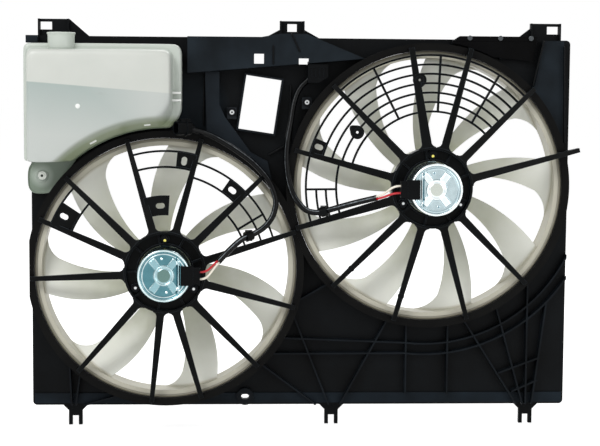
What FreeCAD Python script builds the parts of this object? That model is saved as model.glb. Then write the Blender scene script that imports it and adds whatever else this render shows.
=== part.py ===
import FreeCAD, Part
import math
import os

# Dual radiator fan assembly: a moulded shroud with two openings, a motor on a stay in each, and a
# ringed fan on each motor. The shroud also carries a coolant reservoir, a rubber air flap and the
# motor leads. Millimetres. X runs across the radiator, Z is up, and -Y points from the radiator to
# the engine. The origin is the middle of the shroud's open side, in the plane of its rim.
# A depth is a distance from that plane towards the engine, so a depth d lies at Y = -d.

# Openings and the panel around them
left_opening_radius = 181.0
right_opening_radius = 187.5
opening_gap = 12.6
axis_rise = 116.0
left_margin = 6.0
right_margin = 14.5
bottom_margin = 15.0
top_margin = 16.5
corner_radius = 6.0

# Moulding thicknesses, and depths of the panel's levels
wall = 2.6
skin_depth = 30.0
lip_depth = 62.0
lip_width = 10.0
lip_thickness = 3.0
fit_gap = 0.3
running_gap = 0.05

# Cross beam, ring pad and corner pad
beam_depth = 56.0
beam_height = 50.0
beam_end_height = 28.5
beam_end_place = 89.0
beam_crest_rise = 4.7
beam_crest_half = 18.0
beam_crest_slope = 26.0
beam_tank_gap = 7.0
pad_depth = 50.0
pad_place = 53.0
pad_width = 20.0
corner_pad_depth = 45.0
corner_pad_width = 40.0
corner_pad_margin = 12.0
corner_tab_height = 10.0
corner_tab_width = 16.0

# Ribs and the ledge along the bottom
rib_thickness = 2.4
rib_depth = 42.0
rib_ring_gap = 36.5
rib_ring_pitch = 15.0
ledge_height = 17.0
strut_places = [-26.0, 33.0]
foot_strut_place = 146.0

# Ribs down to the feet: the angle where each leaves its opening, and its place from the foot's middle
left_foot_ribs = [(222.0, -3.0), (229.3, 3.0), (254.7, 14.0)]
middle_foot_left_ribs = [(-46.2, -24.0), (-18.0, -6.0)]
middle_foot_right_ribs = [(-105.0, 10.0)]
right_foot_ribs = [(-74.5, -19.0), (-58.5, -10.0)]
right_foot_outer_ribs = [(-43.5, 3.0)]

# Cross ribs near the right foot, each end as a distance out from the right opening and an angle
cross_ribs = [((99.0, -68.2), (107.0, -55.9)), ((131.0, -66.7), (133.0, -59.5))]
bridge_rib = (-17.0, -134.0)

# Lugs on the top edge, with holes for the screws to the radiator
lug_depth = 8.0
lug_thickness = 4.0
lug_flange = 6.0
lug_height = 24.0
lug_slope = 22.0
lug_shoulder = 12.0
left_lug_slope = 28.0
right_lug_shoulder = 17.0
lug_hole_height = 10.8
lug_hole_drop = 4.0
side_lug_width = 43.0
side_lug_hole = 16.0
side_lug_edge = 3.0
middle_lug_width = 34.6
middle_lug_hole = 13.3
left_lug_place = 8.5
middle_lug_place = -14.5
right_lug_place = 10.7

# Forked feet on the bottom edge
foot_width = 19.2
foot_slot = 8.6
foot_slot_length = 13.0
foot_length = 31.5
foot_root = 11.0
foot_depth = 8.0
foot_thickness = 6.0
left_foot_place = 57.8
middle_foot_place = 45.2
right_foot_place = 50.3

# Eyelet, module window, and square holes through the beam
eyelet_place = -78.5
eyelet_height = 12.5
eyelet_radius = 12.0
eyelet_depth = 38.0
eyelet_bore = 3.6
eyelet_slot = 4.0
window_shift = -13.1
window_drop = 92.5
window_width = 49.5
window_height = 75.0
window_tilt = -8.4
beam_hole_side = 13.5
beam_hole_low = 7.6
beam_hole_left = -68.5
beam_hole_right = -7.0
beam_hole_drop = 23.0
clip_boss_height = 9.0
clip_boss_radius = 6.5
left_clip_reach = 53.65
left_clip_angle = 67.32
right_clip_reach = 16.51
right_clip_angle = 145.69
clip_nut_thickness = 1.0
clip_nut_width = 14.0

# Stays: spokes from the ring's lip to a round motor holder
holder_margin = 9.8
holder_wall = 3.0
holder_depth = 103.0
holder_height = 19.0
holder_floor = 3.0
holder_ribs = 9
holder_rib_drop = 5.0
collar_gap = 1.2
spoke_overlap = 5.0
spoke_root_width = 10.5
spoke_tip_width = 6.0
spoke_tip_height = 9.0
spoke_flange = 3.0
spoke_web = 3.4
spoke_flare = 5.0
wide_spoke = 3.0
long_spoke = 23.0
side_spoke = 6.0
nub_radius = 4.2
nub_margin = 31.5

# Spokes as angles from +X, counter-clockwise as the engine side shows them
left_spokes = [16.4, 44.0, 74.8, 106.6, 137.3, 158.2, 184.0, 229.6, 264.0, 285.5, 313.3, 343.5]
right_spokes = [13.9, 43.3, 73.6, 98.0, 134.0, 165.2, 197.6, 226.4, 255.8, 286.6, 315.5]

# Guard bars between the spokes
guard_width = 2.8
guard_height = 5.0
guard_drop = 1.0
guard_plate = 3.0
guard_slot_length = 12.0
guard_slot_width = 7.5
grille_bars = 7
grille_margin = 6.5
grille_depth = 77.0
guard_boss_radius = 6.0
guard_boss_bore = 3.0

# Motors
can_radius = 35.3
can_wall = 2.2
motor_length = 76.0
motor_front_depth = 67.0
ear_thickness = 3.2
ear_half_width = 6.0
ear_drop = 14.0
bolt_offset = 10.2
bolt_angles = [90.0, 208.0, 330.0]
screw_radius = 2.5
screw_head_radius = 4.6
screw_head_height = 4.4
screw_seat_drop = 5.0
cap_thickness = 5.0
cap_press = 2.2
cap_rim = 3.2
cap_boss_radius = 12.0
cap_boss_rise = 3.0
cap_bar_width = 6.5
connector_flat = 22.0
connector_half = 13.0
connector_reach = 3.7
connector_nose = 9.0
connector_wall = 2.0
connector_rise = 1.5
connector_drop = 7.0

# Inside the motors
shaft_radius = 4.0
shaft_shoulder = 2.0
bearing_radius = 9.0
bearing_length = 5.5
magnet_thickness = 5.5
magnet_sweep = 74.0
magnet_space = 10.0
air_gap = 0.8
core_slots = 12
core_slot_width = 2.4
winding_end = 6.0
winding_step = 4.0
commutator_radius = 11.0
commutator_length = 13.0
commutator_space = 1.0
brush_plate = 2.5
brush_size = 7.0
brush_box_wall = 1.4

# Fans
tip_gap = 4.0
fan_recess = 6.0
band_flange = 6.5
band_wall = 2.6
band_depth = 37.0
hub_radius = 51.0
hub_wall = 2.8
hub_length = 35.0
hub_motor_gap = 10.0
hub_boss_radius = 13.0
hub_boss_rise = 1.0
hub_ribs = 8
hub_rib_depth = 12.0
blade_thickness = 2.8
blade_pitch = 57.3
blade_trim = 0.5
blade_fillet = 22.0
nut_height = 5.5
nut_radius = 7.0
nut_flange = 1.6

# Blade edges as angles at the root, the middle and the tip, seen from the engine
left_blades = 7
left_lead = (187.3, 181.4, 175.7)
left_trail = (213.8, 203.2, 191.5)
left_blend = (171.6, 163.5)
right_blades = 9
right_lead = (-68.3, -75.9, -82.8)
right_trail = (-50.8, -59.7, -68.7)
right_blend = (-88.3, -97.0)

# Reservoir
tank_overhang = 5.0
tank_width = 214.0
tank_drop = 11.0
tank_wall = 2.2
tank_back_gap = 4.0
tank_shoulder_depth = 78.0
tank_front_depth = 112.0
tank_draft = 9.0
tank_side_draft = 14.0
tank_rise = 15.0
tank_ring_gap = 3.0
tank_low_angle = 136.4
tank_corner_width = 16.0
tank_corner_height = 18.0
tank_tab = 5.0
tank_screw_reach = 32.26
tank_screw_angle = 143.32
tank_rib_drop = 80.0
tank_rib_pitch = 10.0
neck_radius = 16.5
neck_lip = 2.7
neck_lip_height = 3.0
neck_bore = 13.8
neck_height = 17.0
neck_place = 54.0
neck_depth = 78.0

# Rubber air flap
flap_thickness = 2.0
flap_strip_height = 7.0
flap_rise = 4.5
flap_slope = 11.0
flap_gap = 8.0
flap_place = 33.7
flap_margin = 49.0
flap_fall = 34.5
flap_ring_gap = 4.0
flap_sweep = 17.0
pin_radius = 2.0
pin_head_radius = 3.4
pin_head_height = 1.8
pin_drop = 2.5
pin_edge = 9.0
pin_pitch = 43.0
vent_edge = 9.0
vent_width = 41.0
vent_height = 15.5

# Leads: two wires from each motor into a sleeve, which a clip holds on the stay
wire_radius = 1.5
wire_spread = 4.7
wire_straight = 8.0
sleeve_radius = 4.0
sleeve_wall = 0.7
sleeve_bore_depth = 8.0
clip_length = 10.0
clip_wall = 3.0
plug_length = 24.0
plug_height = 19.0
plug_width = 13.0
plug_wall = 1.6
plug_turn = 40.0
plug_entry = 5.0
plug_gap = 11.0
plug_run = 33.0
plug_depth = 82.0
dock_width = 28.0
dock_height = 25.0
dock_depth = 20.0
dock_place = 19.49
dock_drop = 37.0

# Lead routes as (x from the fan's axis, depth, z from the fan's axis), laid out for these openings
left_layout_radius = 181.0
right_layout_radius = 187.5
left_route = [
    (72.0, 126.0, 17.0), (89.0, 114.0, 34.0), (105.0, 103.0, 47.0), (122.0, 93.5, 52.5),
    (136.0, 87.5, 61.0), (147.0, 83.5, 75.0), (152.0, 80.0, 96.0), (143.0, 77.5, 122.0),
    (121.0, 74.0, 147.5), (89.0, 70.5, 170.0), (58.0, 71.0, 187.5),
]
right_route = [
    (-78.5, 126.0, -11.7), (-109.0, 109.0, -20.5), (-137.0, 93.5, -30.0), (-155.0, 85.5, -36.0),
    (-172.0, 80.0, -33.0), (-187.5, 74.5, -15.0), (-195.0, 69.5, 8.0), (-198.0, 67.0, 34.0),
    (-196.5, 64.0, 62.0), (-191.0, 56.0, 90.0), (-187.5, 47.5, 113.0), (-180.0, 42.0, 134.0),
]

# Places that follow from the sizes above
axis_run = math.sqrt((left_opening_radius + right_opening_radius + opening_gap) ** 2 - axis_rise ** 2)
body_width = left_margin + left_opening_radius + axis_run + right_opening_radius + right_margin
body_height = bottom_margin + left_opening_radius + axis_rise + right_opening_radius + top_margin
side_left = -body_width / 2
side_right = body_width / 2
side_top = body_height / 2
side_bottom = -body_height / 2
left_axis = (side_left + left_margin + left_opening_radius,
             side_bottom + bottom_margin + left_opening_radius)
right_axis = (side_right - right_margin - right_opening_radius,
              side_top - top_margin - right_opening_radius)
skin_back = skin_depth - wall
bolt_radius = can_radius + bolt_offset
holder_radius = bolt_radius + holder_margin
axis_apart = left_opening_radius + right_opening_radius + opening_gap
lip_line_turn = math.degrees(math.atan2(axis_rise, axis_run))
lip_line_reach = (axis_apart ** 2 + (left_opening_radius + lip_width) ** 2
                  - (right_opening_radius + lip_width) ** 2) / (2 * axis_apart)
cap_depth = motor_front_depth + motor_length
ear_depth = holder_depth - ear_drop
screw_seat_depth = holder_depth - screw_seat_drop
commutator_depth = cap_depth - cap_thickness - commutator_space - commutator_length
core_back_depth = motor_front_depth + can_wall + magnet_space + commutator_space + band_wall
core_front_depth = commutator_depth - winding_end - air_gap
magnet_radius = can_radius - can_wall - running_gap
connector_end = can_radius + connector_reach + connector_nose
band_front_depth = lip_depth - fan_recess
band_back_depth = band_front_depth - band_depth
hub_front_depth = motor_front_depth - hub_motor_gap
hub_back_depth = hub_front_depth - hub_length
hub_web_front = hub_back_depth + hub_wall
boss_back_depth = hub_back_depth - hub_boss_rise
tank_left = side_left - tank_overhang
tank_right = tank_left + tank_width
tank_back_depth = skin_depth + tank_back_gap
clip_depth = skin_depth + clip_boss_height
grille_outer = right_opening_radius - grille_margin
grille_inner = grille_outer - grille_depth
left_scale = left_opening_radius / left_layout_radius
right_scale = right_opening_radius / right_layout_radius
flap_depth = skin_depth + flap_gap
flap_left = right_axis[0] + flap_place
flap_right = side_right - flap_margin
flap_top = side_top + flap_rise
strip_low = flap_top - flap_strip_height
pin_spots = [(flap_right - pin_edge - pin_pitch * index, flap_top - pin_drop) for index in range(3)]
origin_spot = (0.0, 0.0)


def at(x, depth, z):
    return FreeCAD.Vector(x, -depth, z)


def polar(centre, radius, angle):
    """A point (x, z) at a radius and an angle in degrees about a centre (x, z)."""
    turn = math.radians(angle)
    return (centre[0] + radius * math.cos(turn), centre[1] + radius * math.sin(turn))


clip_spots = [
    polar(left_axis, left_opening_radius + left_clip_reach, left_clip_angle),
    polar(right_axis, right_opening_radius + right_clip_reach, right_clip_angle),
]
tank_screw = polar(left_axis, left_opening_radius + tank_screw_reach, tank_screw_angle)


def block(x0, x1, z0, z1, near, far):
    """A box between two depths."""
    return Part.makeBox(x1 - x0, far - near, z1 - z0, at(x0, far, z0))


def disc(centre, radius, near, far):
    """A cylinder along Y between two depths."""
    return Part.makeCylinder(radius, far - near, at(centre[0], near, centre[1]), FreeCAD.Vector(0, -1, 0))


def tube(centre, outer, inner, near, far):
    return disc(centre, outer, near, far).cut(disc(centre, inner, near - 1, far + 1))


def outline(points, depth):
    """A closed wire at one depth. A point (x, z, mid_x, mid_z) is reached by an arc through mid."""
    edges = []
    for index, point in enumerate(points):
        start = at(points[index - 1][0], depth, points[index - 1][1])
        end = at(point[0], depth, point[1])
        if len(point) == 4:
            edges.append(Part.Arc(start, at(point[2], depth, point[3]), end).toShape())
        else:
            edges.append(Part.LineSegment(start, end).toShape())
    return Part.Wire(edges)


def plate(points, near, far):
    """A flat outline given thickness between two depths."""
    return Part.Face(outline(points, near)).extrude(FreeCAD.Vector(0, near - far, 0))


def arc_to(centre, radius, start, end):
    """The end of an arc about a centre, with its middle, for outline()."""
    return polar(centre, radius, end) + polar(centre, radius, (start + end) / 2)


def sector(centre, inner, outer, start, end, near, far):
    """Part of a flat ring between two radii and two angles."""
    points = [
        polar(centre, outer, start),
        arc_to(centre, outer, start, end),
        polar(centre, inner, end),
        arc_to(centre, inner, end, start),
    ]
    return plate(points, near, far)


def wall_between(start, end, thickness, near, far):
    """An upright wall along a line in the face of the shroud."""
    run = math.hypot(end[0] - start[0], end[1] - start[1])
    side_x = -(end[1] - start[1]) / run * thickness / 2
    side_z = (end[0] - start[0]) / run * thickness / 2
    points = [
        (start[0] + side_x, start[1] + side_z),
        (end[0] + side_x, end[1] + side_z),
        (end[0] - side_x, end[1] - side_z),
        (start[0] - side_x, start[1] - side_z),
    ]
    return plate(points, near, far)


def slot_form(centre, length, width, angle, near, far):
    """A round-ended bar about a point, its long way at an angle."""
    half = (length - width) / 2
    start = polar(centre, half, angle)
    end = polar(centre, -half, angle)
    ends = [disc(start, width / 2, near, far), disc(end, width / 2, near, far)]
    return fuse(ends + [wall_between(start, end, width, near, far)])


def hexagon(centre, radius, near, far):
    return plate([polar(centre, radius, 60.0 * index) for index in range(6)], near, far)


def fuse(shapes):
    return shapes[0].multiFuse(shapes[1:]) if len(shapes) > 1 else shapes[0]


def spun(shape, centre, angle):
    """A copy turned about an axis along Y; a positive angle is counter-clockwise from the engine."""
    copy = shape.copy()
    copy.rotate(at(centre[0], 0, centre[1]), FreeCAD.Vector(0, -1, 0), angle)
    return copy


def place(shape, centre):
    """Moves a form made about the origin to a fan's axis."""
    shape.translate(at(centre[0], 0, centre[1]))
    return shape


def save(shape, node):
    shape = shape.removeSplitter()
    print(node, "solids", len(shape.Solids), "valid", shape.isValid(), "volume", round(shape.Volume))
    shape.exportStep("parts/" + node + ".step")


# Shroud panel


def raised(points, front):
    """A hollow raised area of the panel: its shell, and the space behind it."""
    form = plate(points, skin_back, front)
    inner = outline(points, skin_back - 1).makeOffset2D(-wall)
    space = Part.Face(inner).extrude(FreeCAD.Vector(0, skin_back - 1 - front + wall, 0))
    return form.cut(space), space


def body_outline():
    """The panel's rectangle with its corners rounded."""
    cut = corner_radius * (1 - math.sqrt(0.5))
    r = corner_radius
    return [
        (side_right - r, side_bottom),
        (side_right, side_bottom + r, side_right - cut, side_bottom + cut),
        (side_right, side_top - r),
        (side_right - r, side_top, side_right - cut, side_top - cut),
        (side_left + r, side_top),
        (side_left, side_top - r, side_left + cut, side_top - cut),
        (side_left, side_bottom + r),
        (side_left + r, side_bottom, side_left + cut, side_bottom + cut),
    ]


def beam_low(x):
    """The height of the beam's lower edge at x."""
    start = tank_right + beam_tank_gap
    end = right_axis[0] - beam_end_place
    share = (x - start) / (end - start)
    return side_top - beam_height + (beam_height - beam_end_height) * share


def beam():
    """The raised cross beam under the top lugs, running out as a gusset on the right."""
    crest = side_top + beam_crest_rise
    start = tank_right + beam_tank_gap
    end = right_axis[0] - beam_end_place
    points = [
        (start, beam_low(start)),
        (end, beam_low(end)),
        (middle_lug_place + beam_crest_half, crest),
        (middle_lug_place - beam_crest_half, crest),
        (middle_lug_place - beam_crest_half - beam_crest_slope, side_top),
        (start, side_top),
    ]
    return raised(points, beam_depth)


def ring_pad():
    """The raised area between the module window and the left opening."""
    reach = left_opening_radius + lip_width / 2
    left = left_axis[0] + pad_place
    right = left + pad_width
    top = side_top - beam_height
    points = [
        (left, top + wall),
        polar(left_axis, reach + 12.0, 73.7),
        polar(left_axis, reach, 76.0),
        arc_to(left_axis, reach, 76.0, 37.0),
        polar(left_axis, reach + 18.5, 46.8),
        polar(left_axis, reach + 13.0, 54.0),
        polar(left_axis, reach + 39.0, 68.9),
        (right, top - 43.0),
        (right, top + wall),
    ]
    return raised(points, pad_depth)


def corner_pad():
    """The raised area in the upper right corner, outside the right opening."""
    reach = right_opening_radius + lip_width / 2
    start = side_right - corner_pad_width
    points = [
        (start, side_top - wall / 2),
        (start - lug_shoulder, side_top - 62.0),
        polar(right_axis, reach, 42.0),
        arc_to(right_axis, reach, 42.0, 13.0),
        (side_right - corner_pad_margin, right_axis[1] + 44.0),
        (side_right - corner_pad_margin, side_top - wall / 2),
    ]
    return raised(points, corner_pad_depth)


def lug(left, width, hole_left, hole_width, slope_left, slope_right, shoulder):
    """A fixing lug on the top edge, with its hole, two side flanges and slopes up to its shoulder."""
    near, far = lug_depth, lug_depth + lug_thickness
    base = side_top - wall
    top = side_top + lug_height
    right = left + width
    points = [(left, base), (right, base), (right, top), (left, top)]
    parts = [plate(points, near, far)]
    for edge, slope in ((left, -slope_left), (right, slope_right)):
        if slope:
            corners = [(edge, base), (edge + slope, base), (edge + slope, side_top),
                       (edge, side_top + shoulder)]
            parts.append(plate(corners, near, far))
    parts.append(block(left, left + wall, base, top, near, far + lug_flange))
    parts.append(block(right - wall, right, base, top, near, far + lug_flange))
    hole_top = top - lug_hole_drop
    hole = block(hole_left, hole_left + hole_width, hole_top - lug_hole_height, hole_top, near - 1, far + 1)
    return fuse(parts).cut(hole)


def lugs():
    """Three lugs; the outer ones have their holes near the panel's ends."""
    left = side_left + left_lug_place
    middle = middle_lug_place - middle_lug_width / 2
    right = side_right - right_lug_place - side_lug_width
    right_hole = right + side_lug_width - side_lug_edge - side_lug_hole
    return [
        lug(left, side_lug_width, left + side_lug_edge, side_lug_hole, 0.0, left_lug_slope, lug_height),
        lug(middle, middle_lug_width, middle_lug_place - middle_lug_hole / 2, middle_lug_hole, lug_slope,
            lug_slope, lug_shoulder),
        lug(right, side_lug_width, right_hole, side_lug_hole, lug_slope, 0.0, right_lug_shoulder),
    ]


def foot(centre_x):
    """A forked foot on the bottom edge: two prongs with a slot between."""
    half = foot_width / 2
    bottom = side_bottom - foot_length
    points = [
        (centre_x - half - foot_root, side_bottom),
        (centre_x - half, side_bottom - foot_root),
        (centre_x - half, bottom),
        (centre_x - foot_slot / 2, bottom),
        (centre_x - foot_slot / 2, bottom + foot_slot_length),
        (centre_x + foot_slot / 2, bottom + foot_slot_length),
        (centre_x + foot_slot / 2, bottom),
        (centre_x + half, bottom),
        (centre_x + half, side_bottom - foot_root),
        (centre_x + half + foot_root, side_bottom),
        (centre_x + half + foot_root, side_bottom + wall),
        (centre_x - half - foot_root, side_bottom + wall),
    ]
    return plate(points, foot_depth, foot_depth + foot_thickness)


def opening_ring(centre, radius, side):
    """The ring that stands on the panel around an opening, with the lip that faces the engine.

    Between the openings each lip ends where it meets the other; side is -1 on the left, 1 on the right.
    """
    form = fuse([
        disc(centre, radius + wall, skin_depth, lip_depth),
        disc(centre, radius + lip_width, lip_depth - lip_thickness, lip_depth),
    ])
    near, far = sorted((side * running_gap / 2, -side * body_width))
    beyond = block(near, far, -body_height, body_height, -1, lip_depth + 1)
    beyond = place(spun(beyond, origin_spot, lip_line_turn), polar(left_axis, lip_line_reach, lip_line_turn))
    ring = form.common(plate(body_outline(), 0, lip_depth)).cut(beyond)
    return ring.cut(disc(centre, radius, -1, lip_depth + 1))


def window_corners(grow):
    """The module window's corners, turned a little about its centre."""
    centre = ((clip_spots[0][0] + clip_spots[1][0]) / 2 + window_shift, side_top - window_drop)
    half_x = window_width / 2 + grow
    half_z = window_height / 2 + grow
    right = [polar(centre, side, window_tilt) for side in (-half_x, half_x)]
    lower = [polar(spot, -half_z, window_tilt + 90.0) for spot in right]
    upper = [polar(spot, half_z, window_tilt + 90.0) for spot in reversed(right)]
    return lower + upper


def panel_ribs():
    """Stiffening ribs on the lower part of the panel."""
    low = side_bottom + ledge_height
    near, far = skin_back, rib_depth
    ribs = []
    for index, start in enumerate((-33.0, -42.0)):
        radius = right_opening_radius + rib_ring_gap + rib_ring_pitch * index
        arc = sector(right_axis, radius - rib_thickness / 2, radius + rib_thickness / 2, 263.0, 345.0,
                     near, far)
        ribs.append(arc.common(block(side_left, side_right - wall / 2, low, side_top, near, far)))
        inner = polar(left_axis, left_opening_radius + wall / 2, start)
        ribs.append(wall_between(inner, polar(right_axis, radius, 263.2), rib_thickness, near, far))
    floor = side_bottom + wall / 2
    for place_x, end in [(place_x, low) for place_x in strut_places] + [(foot_strut_place, floor)]:
        drop = math.sqrt(right_opening_radius ** 2 - place_x ** 2)
        top = (right_axis[0] + place_x, right_axis[1] - drop - wall / 2)
        ribs.append(wall_between(top, (top[0], end), rib_thickness, near, far))
    left_reach = left_opening_radius + wall / 2
    right_reach = right_opening_radius + wall / 2
    outer_reach = right_opening_radius + rib_ring_gap + rib_ring_pitch
    left_foot, right_foot = side_left + left_foot_place, side_right - right_foot_place
    slanted = [(polar(left_axis, left_opening_radius, bridge_rib[0]),
                polar(right_axis, right_opening_radius, bridge_rib[1]))]
    for axis, reach, foot_x, spread in (
            (left_axis, left_reach, left_foot, left_foot_ribs),
            (left_axis, left_reach, middle_foot_place, middle_foot_left_ribs),
            (right_axis, right_reach, middle_foot_place, middle_foot_right_ribs),
            (right_axis, right_reach, right_foot, right_foot_ribs),
            (right_axis, outer_reach, right_foot, right_foot_outer_ribs)):
        slanted += [(polar(axis, reach, angle), (foot_x + shift, floor)) for angle, shift in spread]
    for ends in cross_ribs:
        slanted.append(tuple(polar(right_axis, right_opening_radius + out, angle) for out, angle in ends))
    ribs += [wall_between(start, end, rib_thickness, near, far) for start, end in slanted]
    return ribs


def vent(grow, near, far):
    """The ram-air vent behind the rubber flap, given a margin all round."""
    right = flap_right - vent_edge
    top = side_top - vent_edge
    return block(right - vent_width - grow, right + grow, top - vent_height - grow, top + grow, near, far)


def flap_seat():
    """The ledge that the flap's top strip is pinned to, and the rim around the vent."""
    ledge = plate([
        (flap_left + fit_gap, strip_low),
        (flap_left + flap_slope, flap_top),
        (flap_right, flap_top),
        (flap_right, strip_low),
    ], skin_back, flap_depth)
    apron = block(flap_left + fit_gap, flap_right, side_top - flap_strip_height, strip_low,
                  skin_back, flap_depth - fit_gap)
    return [ledge, apron, vent(wall, skin_back, flap_depth - fit_gap)]


def panel_bosses():
    """Bosses for the clip nuts, the tank's screw and rests, and the eyelet."""
    bosses = [disc(spot, clip_boss_radius, skin_back, clip_depth) for spot in clip_spots]
    bosses.append(disc(tank_screw, clip_boss_radius, skin_back, tank_back_depth))
    for share in (0.3, 0.75):
        spot = (tank_left + tank_width * share, side_top - tank_drop - tank_draft)
        bosses.append(disc(spot, clip_boss_radius, skin_back, tank_back_depth))
    bosses.append(disc((eyelet_place, side_bottom + eyelet_height), eyelet_radius, skin_back, eyelet_depth))
    return bosses


def panel_cuts():
    """Every hole through the panel."""
    far = lip_depth + 1
    cuts = [
        disc(left_axis, left_opening_radius, -1, far),
        disc(right_axis, right_opening_radius, -1, far),
        disc(left_axis, left_opening_radius + wall + running_gap, skin_depth, far),
        disc(right_axis, right_opening_radius + wall + running_gap, skin_depth, far),
        plate(window_corners(0), -1, far),
        vent(0, -1, far),
        slot_form((eyelet_place, side_bottom + eyelet_height), eyelet_slot + 2 * eyelet_bore,
                  2 * eyelet_bore,
                  0.0, -1, far),
    ]
    top = side_top - beam_hole_drop
    for x, height in ((beam_hole_left, beam_hole_side), (beam_hole_right, beam_hole_low)):
        cuts.append(block(x, x + beam_hole_side, top - beam_hole_side, top - beam_hole_side + height, -1,
                          far))
    cuts += [disc(spot, pin_radius + running_gap, -1, far) for spot in pin_spots]
    cuts += [disc(spot, screw_radius + running_gap, -1, far) for spot in clip_spots + [tank_screw]]
    return cuts


def shroud_panel():
    """The moulding without the rings that stand on it."""
    body = plate(body_outline(), 0, skin_depth)
    inside = Part.Face(outline(body_outline(), -1).makeOffset2D(-wall))
    skin = body.cut(inside.extrude(FreeCAD.Vector(0, -1 - skin_back, 0)))
    shells = []
    spaces = []
    for shell, space in (beam(), ring_pad(), corner_pad()):
        shells.append(shell)
        spaces.append(space)
    ledge = block(side_left + wall, side_right - wall, side_bottom + wall, side_bottom + ledge_height,
                  skin_back, skin_depth + wall)
    window = plate(window_corners(wall), skin_back, rib_depth)
    tab = block(tank_left, tank_left + corner_tab_width, side_top - corner_tab_height, side_top, skin_back,
                corner_pad_depth)
    parts = [skin.cut(fuse(spaces))] + shells + [ledge, window, tab]
    parts += panel_ribs() + flap_seat() + panel_bosses()
    panel = fuse(parts).cut(fuse(panel_cuts()))
    feet = [foot(side_left + left_foot_place), foot(middle_foot_place), foot(side_right - right_foot_place)]
    return panel.multiFuse(feet + lugs())


# Stays


def stay_front(radius, reach):
    """The depth of a stay's front face at a radius; reach is the radius where its spokes end."""
    share = (radius - holder_radius) / (reach - holder_radius)
    return holder_depth + (lip_depth + spoke_tip_height - holder_depth) * share


def spoke_side(opening, reach, drop):
    """A spoke seen from its side: from the holder down to the ring's lip, its front lowered by drop."""
    root = holder_radius - holder_wall / 2
    back = holder_depth - holder_height + 2 * wall
    corners = [
        at(root, back, 0),
        at(root, holder_depth - drop, 0),
        at(reach, lip_depth + spoke_tip_height - drop, 0),
        at(reach, lip_depth, 0),
        at(opening, lip_depth, 0),
    ]
    return Part.Face(Part.makePolygon(corners + corners[:1]))


def spoke_form(opening, reach, root_width, tip_width, flare, drop):
    """A tapering bar along +X, with rounded corners where it meets the holder."""
    deep = root_width + 2 * flare
    bar = spoke_side(opening, reach, drop).extrude(FreeCAD.Vector(0, 0, deep))
    bar.translate(FreeCAD.Vector(0, 0, -deep / 2))
    root = holder_radius - holder_wall / 2
    rise = 1.6 * flare
    bend = 1 - math.sqrt(0.5)
    half = root_width / 2
    points = [
        (root, half + flare),
        (holder_radius, half + flare),
        (holder_radius + rise, half, holder_radius + bend * rise, half + bend * flare),
        (reach, tip_width / 2),
        (reach, -tip_width / 2),
        (holder_radius + rise, -half),
        (holder_radius, -half - flare, holder_radius + bend * rise, -half - bend * flare),
        (root, -half - flare),
    ]
    return bar.common(plate(points, lip_depth - 1, holder_depth + 1))


def spoke(opening, reach, widen):
    """One spoke: a front flange on a web, with a full-width foot on the lip."""
    widths = (spoke_root_width + widen, spoke_tip_width + widen / 2, spoke_flare)
    whole = spoke_form(opening, reach, *widths, 0)
    flange = whole.cut(spoke_form(opening, reach, *widths, spoke_flange))
    web = spoke_form(opening, reach, spoke_web, spoke_web, spoke_flare / 3, 0)
    foot_box = block(opening, reach, -holder_radius, holder_radius, 0, holder_depth)
    return flange.multiFuse([web, whole.common(foot_box)])


def holder():
    """The round motor holder, about the origin: rim, floor, collar, screw bosses and ribs."""
    collar = can_radius + collar_gap
    floor_front = ear_depth + holder_floor
    parts = [
        tube(origin_spot, holder_radius, holder_radius - holder_wall, holder_depth - holder_height,
             holder_depth),
        tube(origin_spot, holder_radius - holder_wall / 2, collar, ear_depth, floor_front),
        tube(origin_spot, collar + wall, collar, ear_depth, holder_depth - holder_rib_drop + 1),
    ]
    for angle in bolt_angles:
        spot = polar(origin_spot, bolt_radius, angle)
        parts.append(disc(spot, screw_head_radius + collar_gap, ear_depth, screw_seat_depth))
    for index in range(holder_ribs):
        angle = 360.0 * (index + 0.5) / holder_ribs
        inner = polar(origin_spot, collar + wall / 2, angle)
        outer = polar(origin_spot, holder_radius - holder_wall / 2, angle)
        parts.append(wall_between(inner, outer, rib_thickness, ear_depth, holder_depth - holder_rib_drop))
    spots = [polar(origin_spot, bolt_radius, angle) for angle in bolt_angles]
    holes = [disc(spot, screw_radius + running_gap, 0, holder_depth) for spot in spots]
    holes.append(disc(origin_spot, collar, 0, holder_depth + 1))
    return fuse(parts).cut(fuse(holes))


def guard_arc(radius, start, end, reach):
    """A guard bar that follows a ring, just behind the spokes' front faces."""
    far = stay_front(radius, reach) - guard_drop
    half = guard_width / 2
    return sector(origin_spot, radius - half, radius + half, start, end, far - guard_height, far)


def guard_rib(angle, inner, outer, reach):
    """A radial guard bar that slopes with the spokes."""
    corners = []
    for radius, drop in ((inner, guard_height), (inner, 0), (outer, 0), (outer, guard_height)):
        corners.append(at(radius, stay_front(radius, reach) - guard_drop - drop, -guard_width / 2))
    side = Part.Face(Part.makePolygon(corners + corners[:1]))
    return spun(side.extrude(FreeCAD.Vector(0, 0, guard_width)), origin_spot, angle)


def guard_slot(radii, start, end, hole_angle, long_way, reach, scale):
    """A flat clip plate between two guard bars, with a round-ended hole; radii are inner, hole, outer."""
    inner, hole_radius, outer = [radius * scale for radius in radii]
    far = stay_front((inner + outer) / 2, reach) - guard_drop
    body = sector(origin_spot, inner, outer, start, end, far - guard_plate, far)
    spot = polar(origin_spot, hole_radius, hole_angle)
    hole = slot_form(spot, guard_slot_length, guard_slot_width, hole_angle + long_way,
                     far - guard_plate - 1, far + 1)
    return body.cut(hole)


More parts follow.
